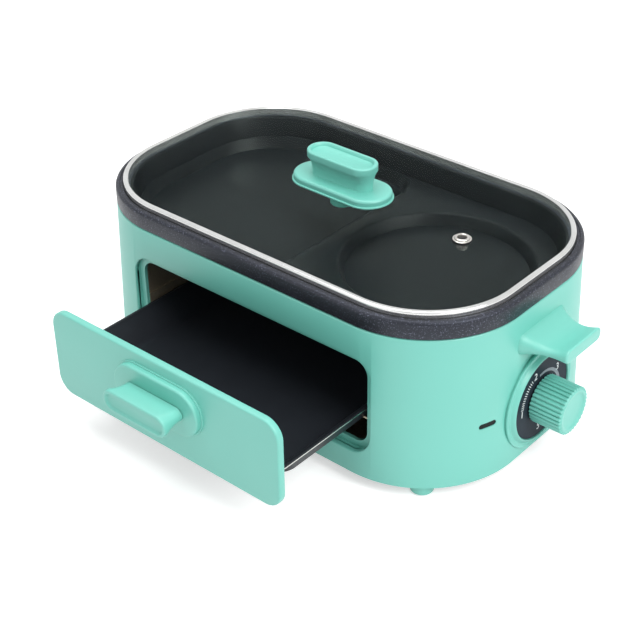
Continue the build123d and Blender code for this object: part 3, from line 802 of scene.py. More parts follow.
@dataclass
class Housing:
    """The moulded shell with its drawer opening and side handles."""

    palette: Palette
    wall: float = 3.0
    lip: float = 7.0
    top_round: float = 1.2
    hollow_drop: float = 5.0
    hollow_flare: float = 1.04
    opening_half_length: float = 106.0
    opening_half_height: float = 36.0
    opening_corner: float = 15.0
    opening_height: float = 62.0
    opening_round: float = 1.3
    opening_reach: tuple[float, float] = (60.0, 150.0)
    sleeve_wall: float = 2.0
    sleeve_ends: tuple[float, float] = (4.0, 1.6)
    handle_root: tuple[float, float, float] = (26.8, 90.5, 106.0)
    handle_tip: tuple[float, float, float] = (20.5, 94.4, 105.0)
    handle_seat: float = 2.4
    handle_reach: float = 32.0
    handle_scoop: float = 4.6
    handle_arch: float = 1.8
    handle_waist: float = 0.9
    handle_flare: float = 2.6
    handle_round: float = 6.4
    handle_tip_round: float = 1.6
    handle_steps: int = 16
    control_height: float = 47.2
    control_bore: float = 5.2
    control_reach: tuple[float, float] = (140.0, 180.0)
    indicator_size: tuple[float, float] = (13.4, 4.0)
    indicator_depth: float = 4.0
    indicator_height: float = 50.8
    indicator_angle: float = 19.2

    def build(self) -> list[Item]:
        """Builds the shell and both side handles."""
        return [self.shell(), *self.handles()]

    def shell(self) -> Item:
        """The flared shell, hollow, with a rounded edge round the drawer opening.

        Returns:
            The shell, which stands for the four housing nodes.
        """
        s = STATION
        shell = s.outline("housing_shell", 0.0, s.base, s.top)
        shell.pick(Pick.VERTS, lambda at, way: at.z < s.base + NEAR)
        self.flare_out(shell, s.half_length, s.half_width, s.flare)
        shell.pick_rim([s.top])
        shell.bevel(self.top_round, 4)
        shell.pick_level(s.top)
        shell.inset(self.lip - self.top_round)
        shell.extrude((0, 0, -self.wall))
        shell.cut(self.hollow())
        shell.cut(self.mouth())
        self.round_mouth(shell)
        hole = Workpiece.drum("control_hole", self.control_bore, *self.control_reach, 48)
        hole.turn("Y", 90)
        hole.shift((0, 0, self.control_height))
        shell.cut(hole)
        shell.cut(self.indicator_pocket())
        sleeve = self.sleeve()
        sleeve.cut(self.mouth())
        shell.join([sleeve])
        sections = ("housing_front", "housing_back", "housing_end_left", "housing_end_right")
        return shell.finish(self.palette.body, "housing", Slot.BODY, sections, 32.0)

    def flare_out(self, piece: Workpiece, length: float, width: float, grow: float) -> None:
        """Widens the selected foot of a piece.

        Args:
            piece: The piece whose foot is selected.
            length: Half its length before.
            width: Half its width before.
            grow: How far each side moves out.
        """
        piece.resize(((length + grow) / length, (width + grow) / width, 1))

    def hollow(self) -> Workpiece:
        """The space inside the shell, open at the bottom."""
        s = STATION
        low, high = s.base - self.hollow_drop, s.top - self.wall
        space = s.outline("hollow", self.wall, low, high)
        space.pick(Pick.VERTS, lambda at, way: at.z < s.base)
        length, width = s.half_length - self.wall, s.half_width - self.wall
        self.flare_out(space, length, width, s.flare * self.hollow_flare)
        return space

    def opening(self, name: str, grow: float, low: float, high: float) -> Workpiece:
        """A block with the drawer opening's outline, which faces the front.

        Args:
            name: The name of the piece.
            grow: How far it stands out past the opening.
            low: How far its back stands in front of the body's centre.
            high: How far its front stands there.

        Returns:
            The block at the opening's height.
        """
        half_x, half_y = self.opening_half_length + grow, self.opening_half_height + grow
        block = Workpiece.rounded(name, half_x, half_y, self.opening_corner + grow, low, high, 12)
        block.turn("X", 90)
        block.shift((0, 0, self.opening_height))
        return block

    def mouth(self) -> Workpiece:
        """The tool for the rounded hole in the front wall."""
        return self.opening("mouth", 0.0, *self.opening_reach)

    def sleeve(self) -> Workpiece:
        """A short sleeve behind the opening, not yet cut through."""
        low, high = (STATION.half_width - end for end in self.sleeve_ends)
        return self.opening("tunnel", self.sleeve_wall, low, high)

    def indicator_pocket(self) -> Workpiece:
        """The tool for the indicator's pill-shaped hole in the front right corner."""
        s = STATION
        length, width = self.indicator_size
        deep = self.indicator_depth
        pocket = Workpiece.rounded(
            "indicator_pocket", width / 2, length / 2, width / 2 - HAIR, -deep, deep, 10
        )
        pocket.turn("Y", 90)
        pocket.shift((s.corner + s.wall_at(self.indicator_height), 0, 0))
        pocket.turn("Z", -self.indicator_angle)
        pocket.shift((s.half_length - s.corner, s.corner - s.half_width, self.indicator_height))
        return pocket

    def round_mouth(self, shell: Workpiece) -> None:
        """Rounds the outer edge of the opening.

        Args:
            shell: The shell with its opening already cut.
        """
        s = STATION
        slack, near, off_wall, slope = 0.05, 0.12, 0.5, 0.6

        def on_edge(at: Vector, way: Vector) -> bool:
            """Whether an edge runs round the opening on the outer wall."""
            x, z = abs(at.x), abs(at.z - self.opening_height)
            past = x - self.opening_half_length, z - self.opening_half_height
            if at.y > -self.opening_reach[0] or max(past) >= slack:
                return False
            reach = math.hypot(*(max(side + self.opening_corner, 0) for side in past))
            arc = max(x - (s.half_length - s.corner), 0)
            corner = s.corner + s.wall_at(at.z)
            wall = s.half_width - s.corner + math.sqrt(max(corner**2 - arc**2, 0))
            on_wall = abs(way.y) < slope and abs(at.y + wall) < off_wall
            return on_wall and abs(reach - self.opening_corner) < near

        shell.pick(Pick.EDGES, on_edge)
        shell.bevel(self.opening_round, 3)

    def handles(self) -> list[Item]:
        """The scooped ledge on each end.

        Returns:
            The right handle and its mirror image.
        """
        right = self.handle("side_handle_right_dressed")
        left = right.copy("side_handle_left_dressed")
        left.mirror_x()
        return [
            right.finish(self.palette.body, "housing", Slot.BODY, ("side_handle_right",), 50.0),
            left.finish(self.palette.body, "housing", Slot.BODY, ("side_handle_left",), 50.0),
        ]

    def handle(self, name: str) -> Workpiece:
        """One ledge, pulled out of the end wall in steps.

        Args:
            name: The name of the piece.

        Returns:
            The right-hand ledge.
        """
        root_half, root_low, root_high = self.handle_root
        tip_half, tip_low, tip_high = self.handle_tip
        wall = STATION.half_length + STATION.wall_at(root_high)
        start = wall - self.handle_seat
        ledge = Workpiece.block(name, (start, -root_half, root_low), (wall, root_half, root_high))
        ledge.pick(Pick.EDGES, lambda at, way: abs(way.x) > STRAIGHT)
        ledge.bevel(self.handle_round, 6)
        before = (root_half, root_low, root_high, wall)
        for k in range(1, self.handle_steps + 1):
            share = k / self.handle_steps
            bow = math.sin(math.pi * share)
            flare = (root_half - tip_half) * (1 - share) ** self.handle_flare
            half = tip_half - self.handle_waist * bow + flare
            low = root_low + (tip_low - root_low) * share + self.handle_arch * bow
            high = root_high + (tip_high - root_high) * share - self.handle_scoop * bow
            x = wall + self.handle_reach * share
            ledge.pick(Pick.FACES, lambda at, way: way.x > 0.5 and at.x > before[3] - HAIR)
            ledge.extrude((x - before[3], 0, 0))
            old_mid, new_mid = (before[1] + before[2]) / 2, (low + high) / 2
            factors = (1, half / before[0], (high - low) / (before[2] - before[1]))
            ledge.resize(factors, (x, 0, old_mid))
            ledge.move((0, 0, new_mid - old_mid))
            before = (half, low, high, x)
        ledge.pick(Pick.EDGES, lambda at, way: at.x > wall + self.handle_reach - HAIR)
        ledge.bevel(self.handle_tip_round, 5)
        return ledge


@dataclass
class CookingPan:
    """The cast griddle pan: outer band, lid groove, ridge and two wells."""

    palette: Palette
    low: float = 121.6
    high: float = 134.0
    edge_round: float = 2.5
    foot_round: float = 0.5
    band_width: float = 0.5
    band_slope: float = 0.35
    band_step: float = 0.6
    groove_inset: float = 5.0
    groove_floor: float = 131.5
    lip_inset: float = 12.0
    wall_slope: float = 4.5
    ridge_top: float = 117.0
    well_floor: float = 109.0
    well_slope: float = 4.0
    round_radius: float = 66.0
    ridge: float = 12.0
    ridge_margin: float = 10.0
    flat_corner: float = 20.0
    clear: float = 2.0
    wall_gap: float = 0.3
    foot_inset: float = 8.0
    bottom: float = 106.0
    rim_round: float = 1.6
    lip_round: float = 1.5
    lining_margin: float = 1.2
    lining_low: float = 108.5
    lining_tilt: float = -0.2

    def build(self) -> list[Item]:
        """Builds the pan from one rounded block."""
        pan = STATION.outline("griddle_pan_dressed", 0.0, self.low, self.high)
        pan.pick_edges_from(self.high)
        pan.bevel(self.edge_round, 6)
        pan.pick_edges_to(self.low)
        pan.bevel(self.foot_round, 2)
        pan.pick_level(self.high)
        pan.inset(self.band_width)
        pan.inset(self.band_slope, -self.band_step)
        pan.inset(self.groove_inset - self.edge_round - self.band_width - self.band_slope)
        pan.extrude((0, 0, self.groove_floor - self.high + self.band_step))
        pan.inset(self.lip_inset - self.groove_inset)
        pan.inset(self.wall_slope, self.ridge_top - self.groove_floor)
        pan.pick_level(self.low, up=False)
        pan.inset(self.foot_inset - self.foot_round)
        pan.inset(self.wall_slope + self.well_slope, self.low - self.bottom)
        for well in (self.round_well(), self.flat_well()):
            pan.cut(well)
        self.soften(pan)
        item = pan.finish(self.palette.pan, "housing", Slot.PAN, ("griddle_pan",), 38.0)
        self.line(item)
        return [item]

    def reach(self) -> float:
        """How far the wells reach along X."""
        return STATION.half_length - self.lip_inset - self.wall_slope

    def round_well(self) -> Workpiece:
        """The tool for the round well, concentric with the pan's right end."""
        well = Workpiece.drum("round_well", self.round_radius, self.well_floor, self.ridge_top)
        well.pick_top()
        well.extrude((0, 0, self.clear))
        well.pick_level(self.well_floor, up=False)
        shrink = 1 - self.well_slope / self.round_radius
        well.resize((shrink, shrink, 1))
        well.shift((self.reach() - self.round_radius - self.wall_gap, 0, 0))
        return well

    def flat_well(self) -> Workpiece:
        """The tool for the flat left well, square at the ridge and round at the end."""
        low, high = self.well_floor, self.ridge_top
        left = -self.reach() + self.wall_gap
        right = self.reach() - 2 * self.round_radius - self.ridge
        side = STATION.half_width - self.lip_inset - self.wall_slope - self.wall_gap
        well = Workpiece.block("flat_well", (left, -side, low), (right, side, high))
        well.pick_upright(lambda at: at.x < left + 1)
        well.bevel(STATION.corner - self.lip_inset - self.wall_slope, 28)
        well.pick_upright(lambda at: at.x > right - 1)
        well.bevel(self.flat_corner, 12)
        well.pick_top()
        well.extrude((0, 0, self.clear))
        well.pick_level(low, up=False)
        across = 1 - 2 * self.well_slope / (right - left)
        along = 1 - self.well_slope / side
        well.resize((across, along, 1), ((left + right) / 2, 0, low))
        return well

    def soften(self, pan: Workpiece) -> None:
        """Rounds the rims of the wells and the lip of the cooking space.

        Args:
            pan: The pan with both wells cut.
        """
        pan.pick_rim([self.ridge_top], self._on_well)
        pan.bevel(self.rim_round, 4)
        pan.pick_rim([self.groove_floor], lambda at: STATION.at_inset(at, self.lip_inset))
        pan.bevel(self.lip_round, 4)

    def _on_well(self, at: Vector) -> bool:
        """Whether a point on the ridge's level lies on a well's rim."""
        centre = self.reach() - self.round_radius
        if abs(math.hypot(at.x - centre, at.y) - self.round_radius) < OUTLINE:
            return True
        side = STATION.half_width - self.lip_inset - self.wall_slope
        right = centre - self.round_radius - self.ridge
        return abs(at.x - right) < NEAR and abs(at.y) < side - self.ridge_margin

    def line(self, item: Item) -> None:
        """Gives the cooking surface its own, smoother coating.

        Args:
            item: The finished pan.
        """
        item.data.materials.append(self.palette.pan_inside)
        limit = STATION.corner - self.lip_inset + self.lining_margin
        for face in item.data.polygons:
            x, y, z = face.center / MM
            inside = STATION.corner_reach(x, y - STATION.row_shift) < limit
            if inside and z > self.lining_low and face.normal.z > self.lining_tilt:
                face.material_index = 1


@dataclass
class GripSizes:
    """One stadium base with its waisted grip, in millimetres."""

    base_length: float = 77.0
    base_width: float = 36.0
    base_height: float = 5.0
    base_round: float = 1.6
    base_cover: float = 1.6
    step_height: float = 1.0
    step_width: float = 0.55
    step_round: float = 0.45
    waist_length: float = 51.0
    waist_width: float = 9.5
    face_length: float = 56.0
    face_width: float = 16.0
    height: float = 18.0
    lip_height: float = 2.0
    flare: float = 2.6
    rim: float = 2.0
    dish: float = 1.8
    edge_round: float = 1.1
    dish_round: float = 0.45
    foot_start: float = 0.8
    foot_spread: float = 0.6
    seam: float = 0.45
    neck_inset: float = 0.9
    steps: int = 12


def quarter_round(piece: Workpiece, radius: float, steps: int = 5) -> None:
    """Closes the selected face with a quarter-round edge.

    Args:
        piece: The piece whose face is selected.
        radius: The radius of the rounding.
        steps: How many faces it takes.
    """
    for k in range(1, steps + 1):
        turn = math.radians(90 * k / steps)
        last = math.radians(90 * (k - 1) / steps)
        inwards = radius * (math.cos(last) - math.cos(turn))
        piece.inset(inwards, radius * (math.sin(turn) - math.sin(last)))


def stadium(name: str, length: float, width: float, low: float, high: float) -> Workpiece:
    """Adds an upright stadium slab.

    Args:
        name: The name of the piece.
        length: Its overall length.
        width: Its overall width.
        low: The height of its foot.
        high: The height of its top.

    Returns:
        The slab, ready for shaping.
    """
    slab = Workpiece.rounded(name, length / 2, width / 2, width / 2, low, high, 20)
    slab.pick(Pick.VERTS, lambda at, way: True)
    bpy.ops.mesh.remove_doubles(threshold=0.02)
    return slab


def stadium_base(name: str, sizes: GripSizes) -> Workpiece:
    """The raised pad under a grip, with a thin step round its foot.

    Args:
        name: The name of the piece.
        sizes: The sizes of the handle.

    Returns:
        The pad, standing on zero.
    """
    step = sizes.step_height
    pad = stadium(name, sizes.base_length, sizes.base_width, 0, step)
    pad.pick_edges_from(step)
    pad.bevel(sizes.step_round, 3)
    pad.pick_level(step)
    pad.inset(sizes.step_width)
    pad.extrude((0, 0, sizes.base_height - step - sizes.base_cover))
    quarter_round(pad, sizes.base_round, 6)
    return pad


def waisted_grip(name: str, sizes: GripSizes) -> Workpiece:
    """The grip on a pad: a dished face that flares out over a narrow waist.

    Args:
        name: The name of the piece.
        sizes: The sizes of the handle.

    Returns:
        The grip, standing on zero.
    """
    lip = sizes.height - sizes.lip_height
    edge, dish = sizes.edge_round, sizes.dish_round
    grip = stadium(name, sizes.face_length, sizes.face_width, lip, sizes.height - edge)
    grip.pick_top()
    quarter_round(grip, edge)
    grip.inset(sizes.rim - edge)
    grip.inset_steps(((0.5, -dish), (0.4, -(sizes.dish - 2 * dish)), (0.9, -dish)))
    grip.pick_level(lip, up=False)
    before = (sizes.face_length, sizes.face_width, lip)
    for k in range(1, sizes.steps + 1):
        share = k / sizes.steps
        fall = (1 - (1 - share) ** sizes.flare) if share < sizes.foot_start else 1.0
        foot = max(0.0, (share - sizes.foot_start) / (1 - sizes.foot_start))
        spread = sizes.foot_spread * foot**2
        length = sizes.face_length - (sizes.face_length - sizes.waist_length) * fall + spread
        width = sizes.face_width - (sizes.face_width - sizes.waist_width) * fall + spread
        level = lip * (1 - share) + (sizes.seam if k == sizes.steps else 0.0)
        draw = (before[0] - length) / 2
        grip.extrude((0, 0, level - before[2]))
        if draw > LEVEL:
            grip.inset(draw)
        else:
            draw = 0.0
        grip.resize((1, width / (before[1] - 2 * draw), 1))
        before = (length, width, level)
    grip.inset(sizes.neck_inset)
    grip.extrude((0, 0, -before[2]))
    return grip


@dataclass
class Drawer:
    """The pull-out drawer: front panel, handle and tray."""

    palette: Palette
    half_length: float = 101.0
    half_height: float = 32.7
    thickness: float = 5.0
    front_round: float = 1.4
    back_round: float = 0.6
    corner: float = 13.0
    centre_height: float = 62.0
    face: float = 179.58
    handle_height: float = 69.0
    tray_half_length: float = 98.5
    tray_depth: float = 165.08
    tray_corner: float = 12.0
    tray_top: float = 58.0
    tray_rim_height: float = 7.5
    tray_basin: float = 10.5
    tray_slope: float = 7.0
    tray_wall: float = 1.6
    tray_edge: float = 0.8
    tray_edge_corner: float = 4.0
    tray_lean: float = 2.0
    tray_lap: float = 0.2
    tray_clear: float = 2.0
    tray_floor_round: float = 2.0
    grip: GripSizes = field(default_factory=GripSizes)

    def build(self) -> list[Item]:
        """Builds the panel, the handle and the tray."""
        return [self.panel(), *self.handle(), self.tray()]

    def to_front(self, piece: Workpiece, depth: float, height: float) -> Workpiece:
        """Turns an upright piece to face the front.

        Args:
            piece: A piece that stands on zero.
            depth: How far in front of the body's centre its foot comes to lie.
            height: The height of its centre.

        Returns:
            The same piece.
        """
        piece.turn("X", 90)
        piece.shift((0, -depth, height))
        return piece

    def panel(self) -> Item:
        """The front panel, with a soft rounded edge."""
        half_x, half_y = self.half_length, self.half_height
        panel = Workpiece.rounded(
            "drawer_front_dressed", half_x, half_y, self.corner, 0, self.thickness, 16
        )
        panel.pick_edges_from(self.thickness)
        panel.bevel(self.front_round, 5)
        panel.pick_edges_to(0)
        panel.bevel(self.back_round, 3)
        self.to_front(panel, self.face - self.thickness, self.centre_height)
        return panel.finish(self.palette.body, "drawer", Slot.BODY, ("drawer_front",), 40.0)

    def handle(self) -> list[Item]:
        """The stadium pad and its grip."""
        pad = stadium_base("drawer_handle_pad", self.grip)
        self.to_front(pad, self.face, self.handle_height)
        grip = waisted_grip("drawer_grip_dressed", self.grip)
        self.to_front(grip, self.face + self.grip.base_height, self.handle_height)
        body = self.palette.body
        return [
            pad.finish(body, "drawer", Slot.BODY, ("drawer_handle_base",), 40.0),
            grip.finish(body, "drawer", Slot.BODY, ("drawer_handle_grip",), 40.0),
        ]

    def tray(self) -> Item:
        """The enamelled tray: a thin, nearly square edge over a rounded, sloped basin."""
        half, half_depth = self.tray_half_length, self.tray_depth / 2
        top, low = self.tray_top, self.tray_top - self.tray_rim_height
        foot = top - self.tray_edge
        edge = Workpiece.rounded(
            "drawer_tray_dressed", half, half_depth, self.tray_edge_corner, foot, top, 8
        )
        basin = Workpiece.rounded(
            "tray_basin", half, half_depth, self.tray_corner, low, foot + self.tray_lap, 12
        )
        basin.pick_level(low, up=False)
        lean = self.tray_lean
        basin.resize((1 - lean / half, 1 - lean / half_depth, 1))
        step = self.tray_wall + self.tray_slope
        self.draw_in(basin, half_depth, lean, step, 0)
        self.draw_in(basin, half_depth, step, step + self.tray_slope, -self.tray_basin)
        for piece in (edge, basin):
            piece.cut(self.tray_space(half_depth))
        edge.join([basin])
        edge.shift((0, -(self.face - self.thickness) + half_depth, 0))
        item = edge.finish(self.palette.tray, "drawer", Slot.TRAY, ("drawer_tray",), 38.0)
        self.bare_edge(item)
        return item

    def bare_edge(self, item: Item) -> None:
        """Leaves the cut edge of the tray's sheet as bare steel.

        Args:
            item: The finished tray.
        """
        item.data.materials.append(self.palette.steel)
        low = (self.tray_top - self.tray_edge) * MM
        reach = (self.tray_half_length - OUTLINE) * MM
        for face in item.data.polygons:
            at, upright = face.center, abs(face.normal.z) < 0.2
            if upright and at.z > low and abs(at.x) > reach:
                face.material_index = 1

    def tray_space(self, half_depth: float) -> Workpiece:
        """The tool for the tray's inside.

        Args:
            half_depth: Half the depth of its rim.

        Returns:
            The tool, with its floor drawn in.
        """
        wall, top = self.tray_wall, self.tray_top
        space = Workpiece.rounded(
            "tray_space",
            self.tray_half_length - wall,
            half_depth - wall,
            self.tray_corner - wall,
            top,
            top + self.tray_clear,
            12,
        )
        space.pick_level(top, up=False)
        step = wall + self.tray_slope
        self.draw_in(space, half_depth, wall, step, wall - self.tray_rim_height)
        self.draw_in(space, half_depth, step, step + self.tray_slope, -self.tray_basin)
        space.pick_rim([top - self.tray_rim_height - self.tray_basin + wall])
        space.bevel(self.tray_floor_round, 3)
        return space

    def draw_in(
        self, tray: Workpiece, half_depth: float, before: float, after: float, rise: float
    ) -> None:
        """Pulls the tray's selected face down and scales it to the next outline.

        Args:
            tray: The tray.
            half_depth: Half the depth of its rim.
            before: How far the face is drawn in so far.
            after: How far it is drawn in below.
            rise: How far it moves up.
        """
        tray.extrude((0, 0, rise))
        across = (self.tray_half_length - after) / (self.tray_half_length - before)
        tray.resize((across, (half_depth - after) / (half_depth - before), 1))


@dataclass
class Lid:
    """The domed glass lid with its steel rim, vent and handle."""

    palette: Palette
    rim_inset: float = 5.6
    rim_low: float = 131.8
    rim_high: float = 137.8
    rim_width: float = 3.6
    rim_sheet: float = 0.9
    rim_round: float = 1.4
    rim_foot_round: float = 1.2
    rim_slope: float = 0.5
    rim_fold: float = 0.7
    glass_gap: float = 0.2
    glass_low: float = 132.8
    glass_thickness: float = 4.0
    dome: float = 5.2
    dome_shares: tuple[float, ...] = (
        *(0.965, 0.9, 0.82, 0.74, 0.66, 0.58),
        *(0.5, 0.42, 0.34, 0.27, 0.2),
    )
    vent_x: float = 101.0
    vent_share: float = 0.64
    vent_rise: float = 0.25
    vent_drop: float = 1.6
    vent_tube: float = 3.8
    eyelet_radius: float = 6.3
    eyelet_step: float = 0.5
    eyelet_levels: tuple[float, float, float] = (0.3, 0.25, 0.3)
    eyelet_rings: tuple[tuple[float, float], ...] = (
        *((0.5, 0.25), (0.25, 0.0), (0.1, -0.2)),
        *((0.25, 0.0), (0.1, 0.35)),
    )
    eyelet_round: float = 1.0
    eyelet_mouth: tuple[tuple[float, float], ...] = ((0.3, 0.0), (0.5, -0.4), (0.2, -0.8))
    seal_height: float = 0.7
    seal_margin: float = 0.4
    seal_round: float = 0.3
    seal_drop: float = 0.3
    seal_gap: float = 0.2
    handle_seat: float = 142.1
    handle_gap: float = 3.0
    flange_inset: float = 5.0
    grip: GripSizes = field(
        default_factory=lambda: GripSizes(
            base_length=80.0,
            base_width=36.0,
            base_height=4.8,
            base_round=2.2,
            waist_width=13.0,
            face_width=22.0,
            height=19.2,
            lip_height=3.6,
            flare=3.2,
            rim=2.4,
            dish=2.6,
        )
    )

    def build(self) -> list[Item]:
        """Builds the rim, glass, vent and handle."""
        return [self.rim(), self.glass(), *self.vent(), *self.handle()]

    def rim(self) -> Item:
        """The folded steel channel round the glass."""
        ring = STATION.outline("lid_rim_dressed", self.rim_inset, self.rim_low, self.rim_high)
        ring.pick_edges_from(self.rim_high)
        ring.bevel(self.rim_round, 6)
        ring.pick_edges_to(self.rim_low)
        ring.bevel(self.rim_foot_round, 4)
        ring.pick_level(self.rim_high)
        ring.inset(self.rim_width - self.rim_round - self.rim_slope)
        ring.inset(self.rim_slope, -self.rim_slope)
        ring.extrude((0, 0, -self.rim_fold))
        ring.pick_level(self.rim_low, up=False)
        ring.inset(self.rim_width - self.rim_foot_round)
        ring.extrude((0, 0, self.rim_fold))
        ring.open_middle()
        ends = (self.rim_high - self.rim_slope - self.rim_fold, self.rim_low + self.rim_fold)
        ring.pick_rim(ends, lambda at: STATION.at_inset(at, self.rim_inset + self.rim_width))
        bpy.ops.mesh.bridge_edge_loops()
        return ring.finish(self.palette.rim, "lid", Slot.STEEL, ("lid_rim",), 30.0)

    def height_at(self, share: float) -> float:
        """The height of the glass's upper face at a share of its outline."""
        bow = (1 - share**2) / (1 - self.dome_shares[-1] ** 2)
        return self.glass_low + self.glass_thickness + self.dome * bow

    def glass(self) -> Item:
        """The domed pane, with both faces raised by the same steps."""
        inset = self.rim_inset + self.rim_sheet + self.glass_gap
        high = self.glass_low + self.glass_thickness
        pane = STATION.outline("lid_glass_dressed", inset, self.glass_low, high)
        for up in (True, False):
            pane.pick_level(high if up else self.glass_low, up)
            last, level = 1.0, high
            for share in self.dome_shares:
                target = self.height_at(share)
                pane.extrude((0, 0, target - level))
                pane.resize((share / last, share / last, 1))
                last, level = share, target
        return pane.finish(self.palette.glass, "lid", Slot.GLASS, ("lid_glass",), 60.0)

    def vent(self) -> list[Item]:
        """The stepped steel eyelet in the glass, on its dark seal."""
        seat = self.height_at(self.vent_share) + self.vent_rise
        low = seat - self.glass_thickness - self.vent_drop
        foot = seat + self.seal_height
        neck = self.eyelet_radius - self.eyelet_step
        first, flare, edge = self.eyelet_levels
        ring = Workpiece.drum("vent_eyelet_dressed", neck, foot, foot + first, 48)
        ring.pick_top()
        ring.extrude((0, 0, flare))
        ring.resize((self.eyelet_radius / neck, self.eyelet_radius / neck, 1))
        ring.extrude((0, 0, edge))
        ring.inset_steps(self.eyelet_rings)
        quarter_round(ring, self.eyelet_round)
        ring.inset_steps(self.eyelet_mouth)
        rises = [rise for _, rise in (*self.eyelet_rings, *self.eyelet_mouth)]
        level = foot + sum(self.eyelet_levels) + sum(rises) + self.eyelet_round
        ring.extrude((0, 0, low - level))
        ring.pick_level(foot, up=False)
        ring.inset(neck - self.vent_tube)
        ring.extrude((0, 0, low - foot))
        ring.open_middle()
        ring.pick(Pick.EDGES, lambda at, way: abs(at.z - low) < OUTLINE and abs(way.z) < FLAT)
        bpy.ops.mesh.bridge_edge_loops()
        radius = self.eyelet_radius + self.seal_margin
        seal = Workpiece.drum("vent_seal", radius, seat, foot, 48)
        seal.pick_top()
        seal.bevel(self.seal_round, 3)
        seal.pick_top()
        seal.inset(radius - self.seal_round - self.vent_tube - self.seal_gap)
        seal.extrude((0, 0, seat - self.seal_drop - foot))
        for piece in (ring, seal):
            piece.shift((self.vent_x, 0, 0))
        return [
            ring.finish(self.palette.eyelet, "lid", Slot.STEEL, ("vent_eyelet",), 35.0),
            seal.finish(self.palette.rubber, "lid", Slot.RUBBER, (), 35.0),
        ]

    def handle(self) -> list[Item]:
        """The pad, raised on a recessed flange, and its grip."""
        pad = stadium_base("lid_handle_pad", self.grip)
        pad.pick_level(0, up=False)
        pad.inset(self.flange_inset)
        pad.extrude((0, 0, -self.handle_gap))
        pad.shift((0, 0, self.handle_seat + self.handle_gap))
        grip = waisted_grip("lid_grip_dressed", self.grip)
        grip.shift((0, 0, self.handle_seat + self.handle_gap + self.grip.base_height))
        body = self.palette.body
        return [
            pad.finish(body, "lid", Slot.BODY, ("lid_handle_base",), 40.0),
            grip.finish(body, "lid", Slot.BODY, ("lid_handle_grip",), 40.0),
        ]


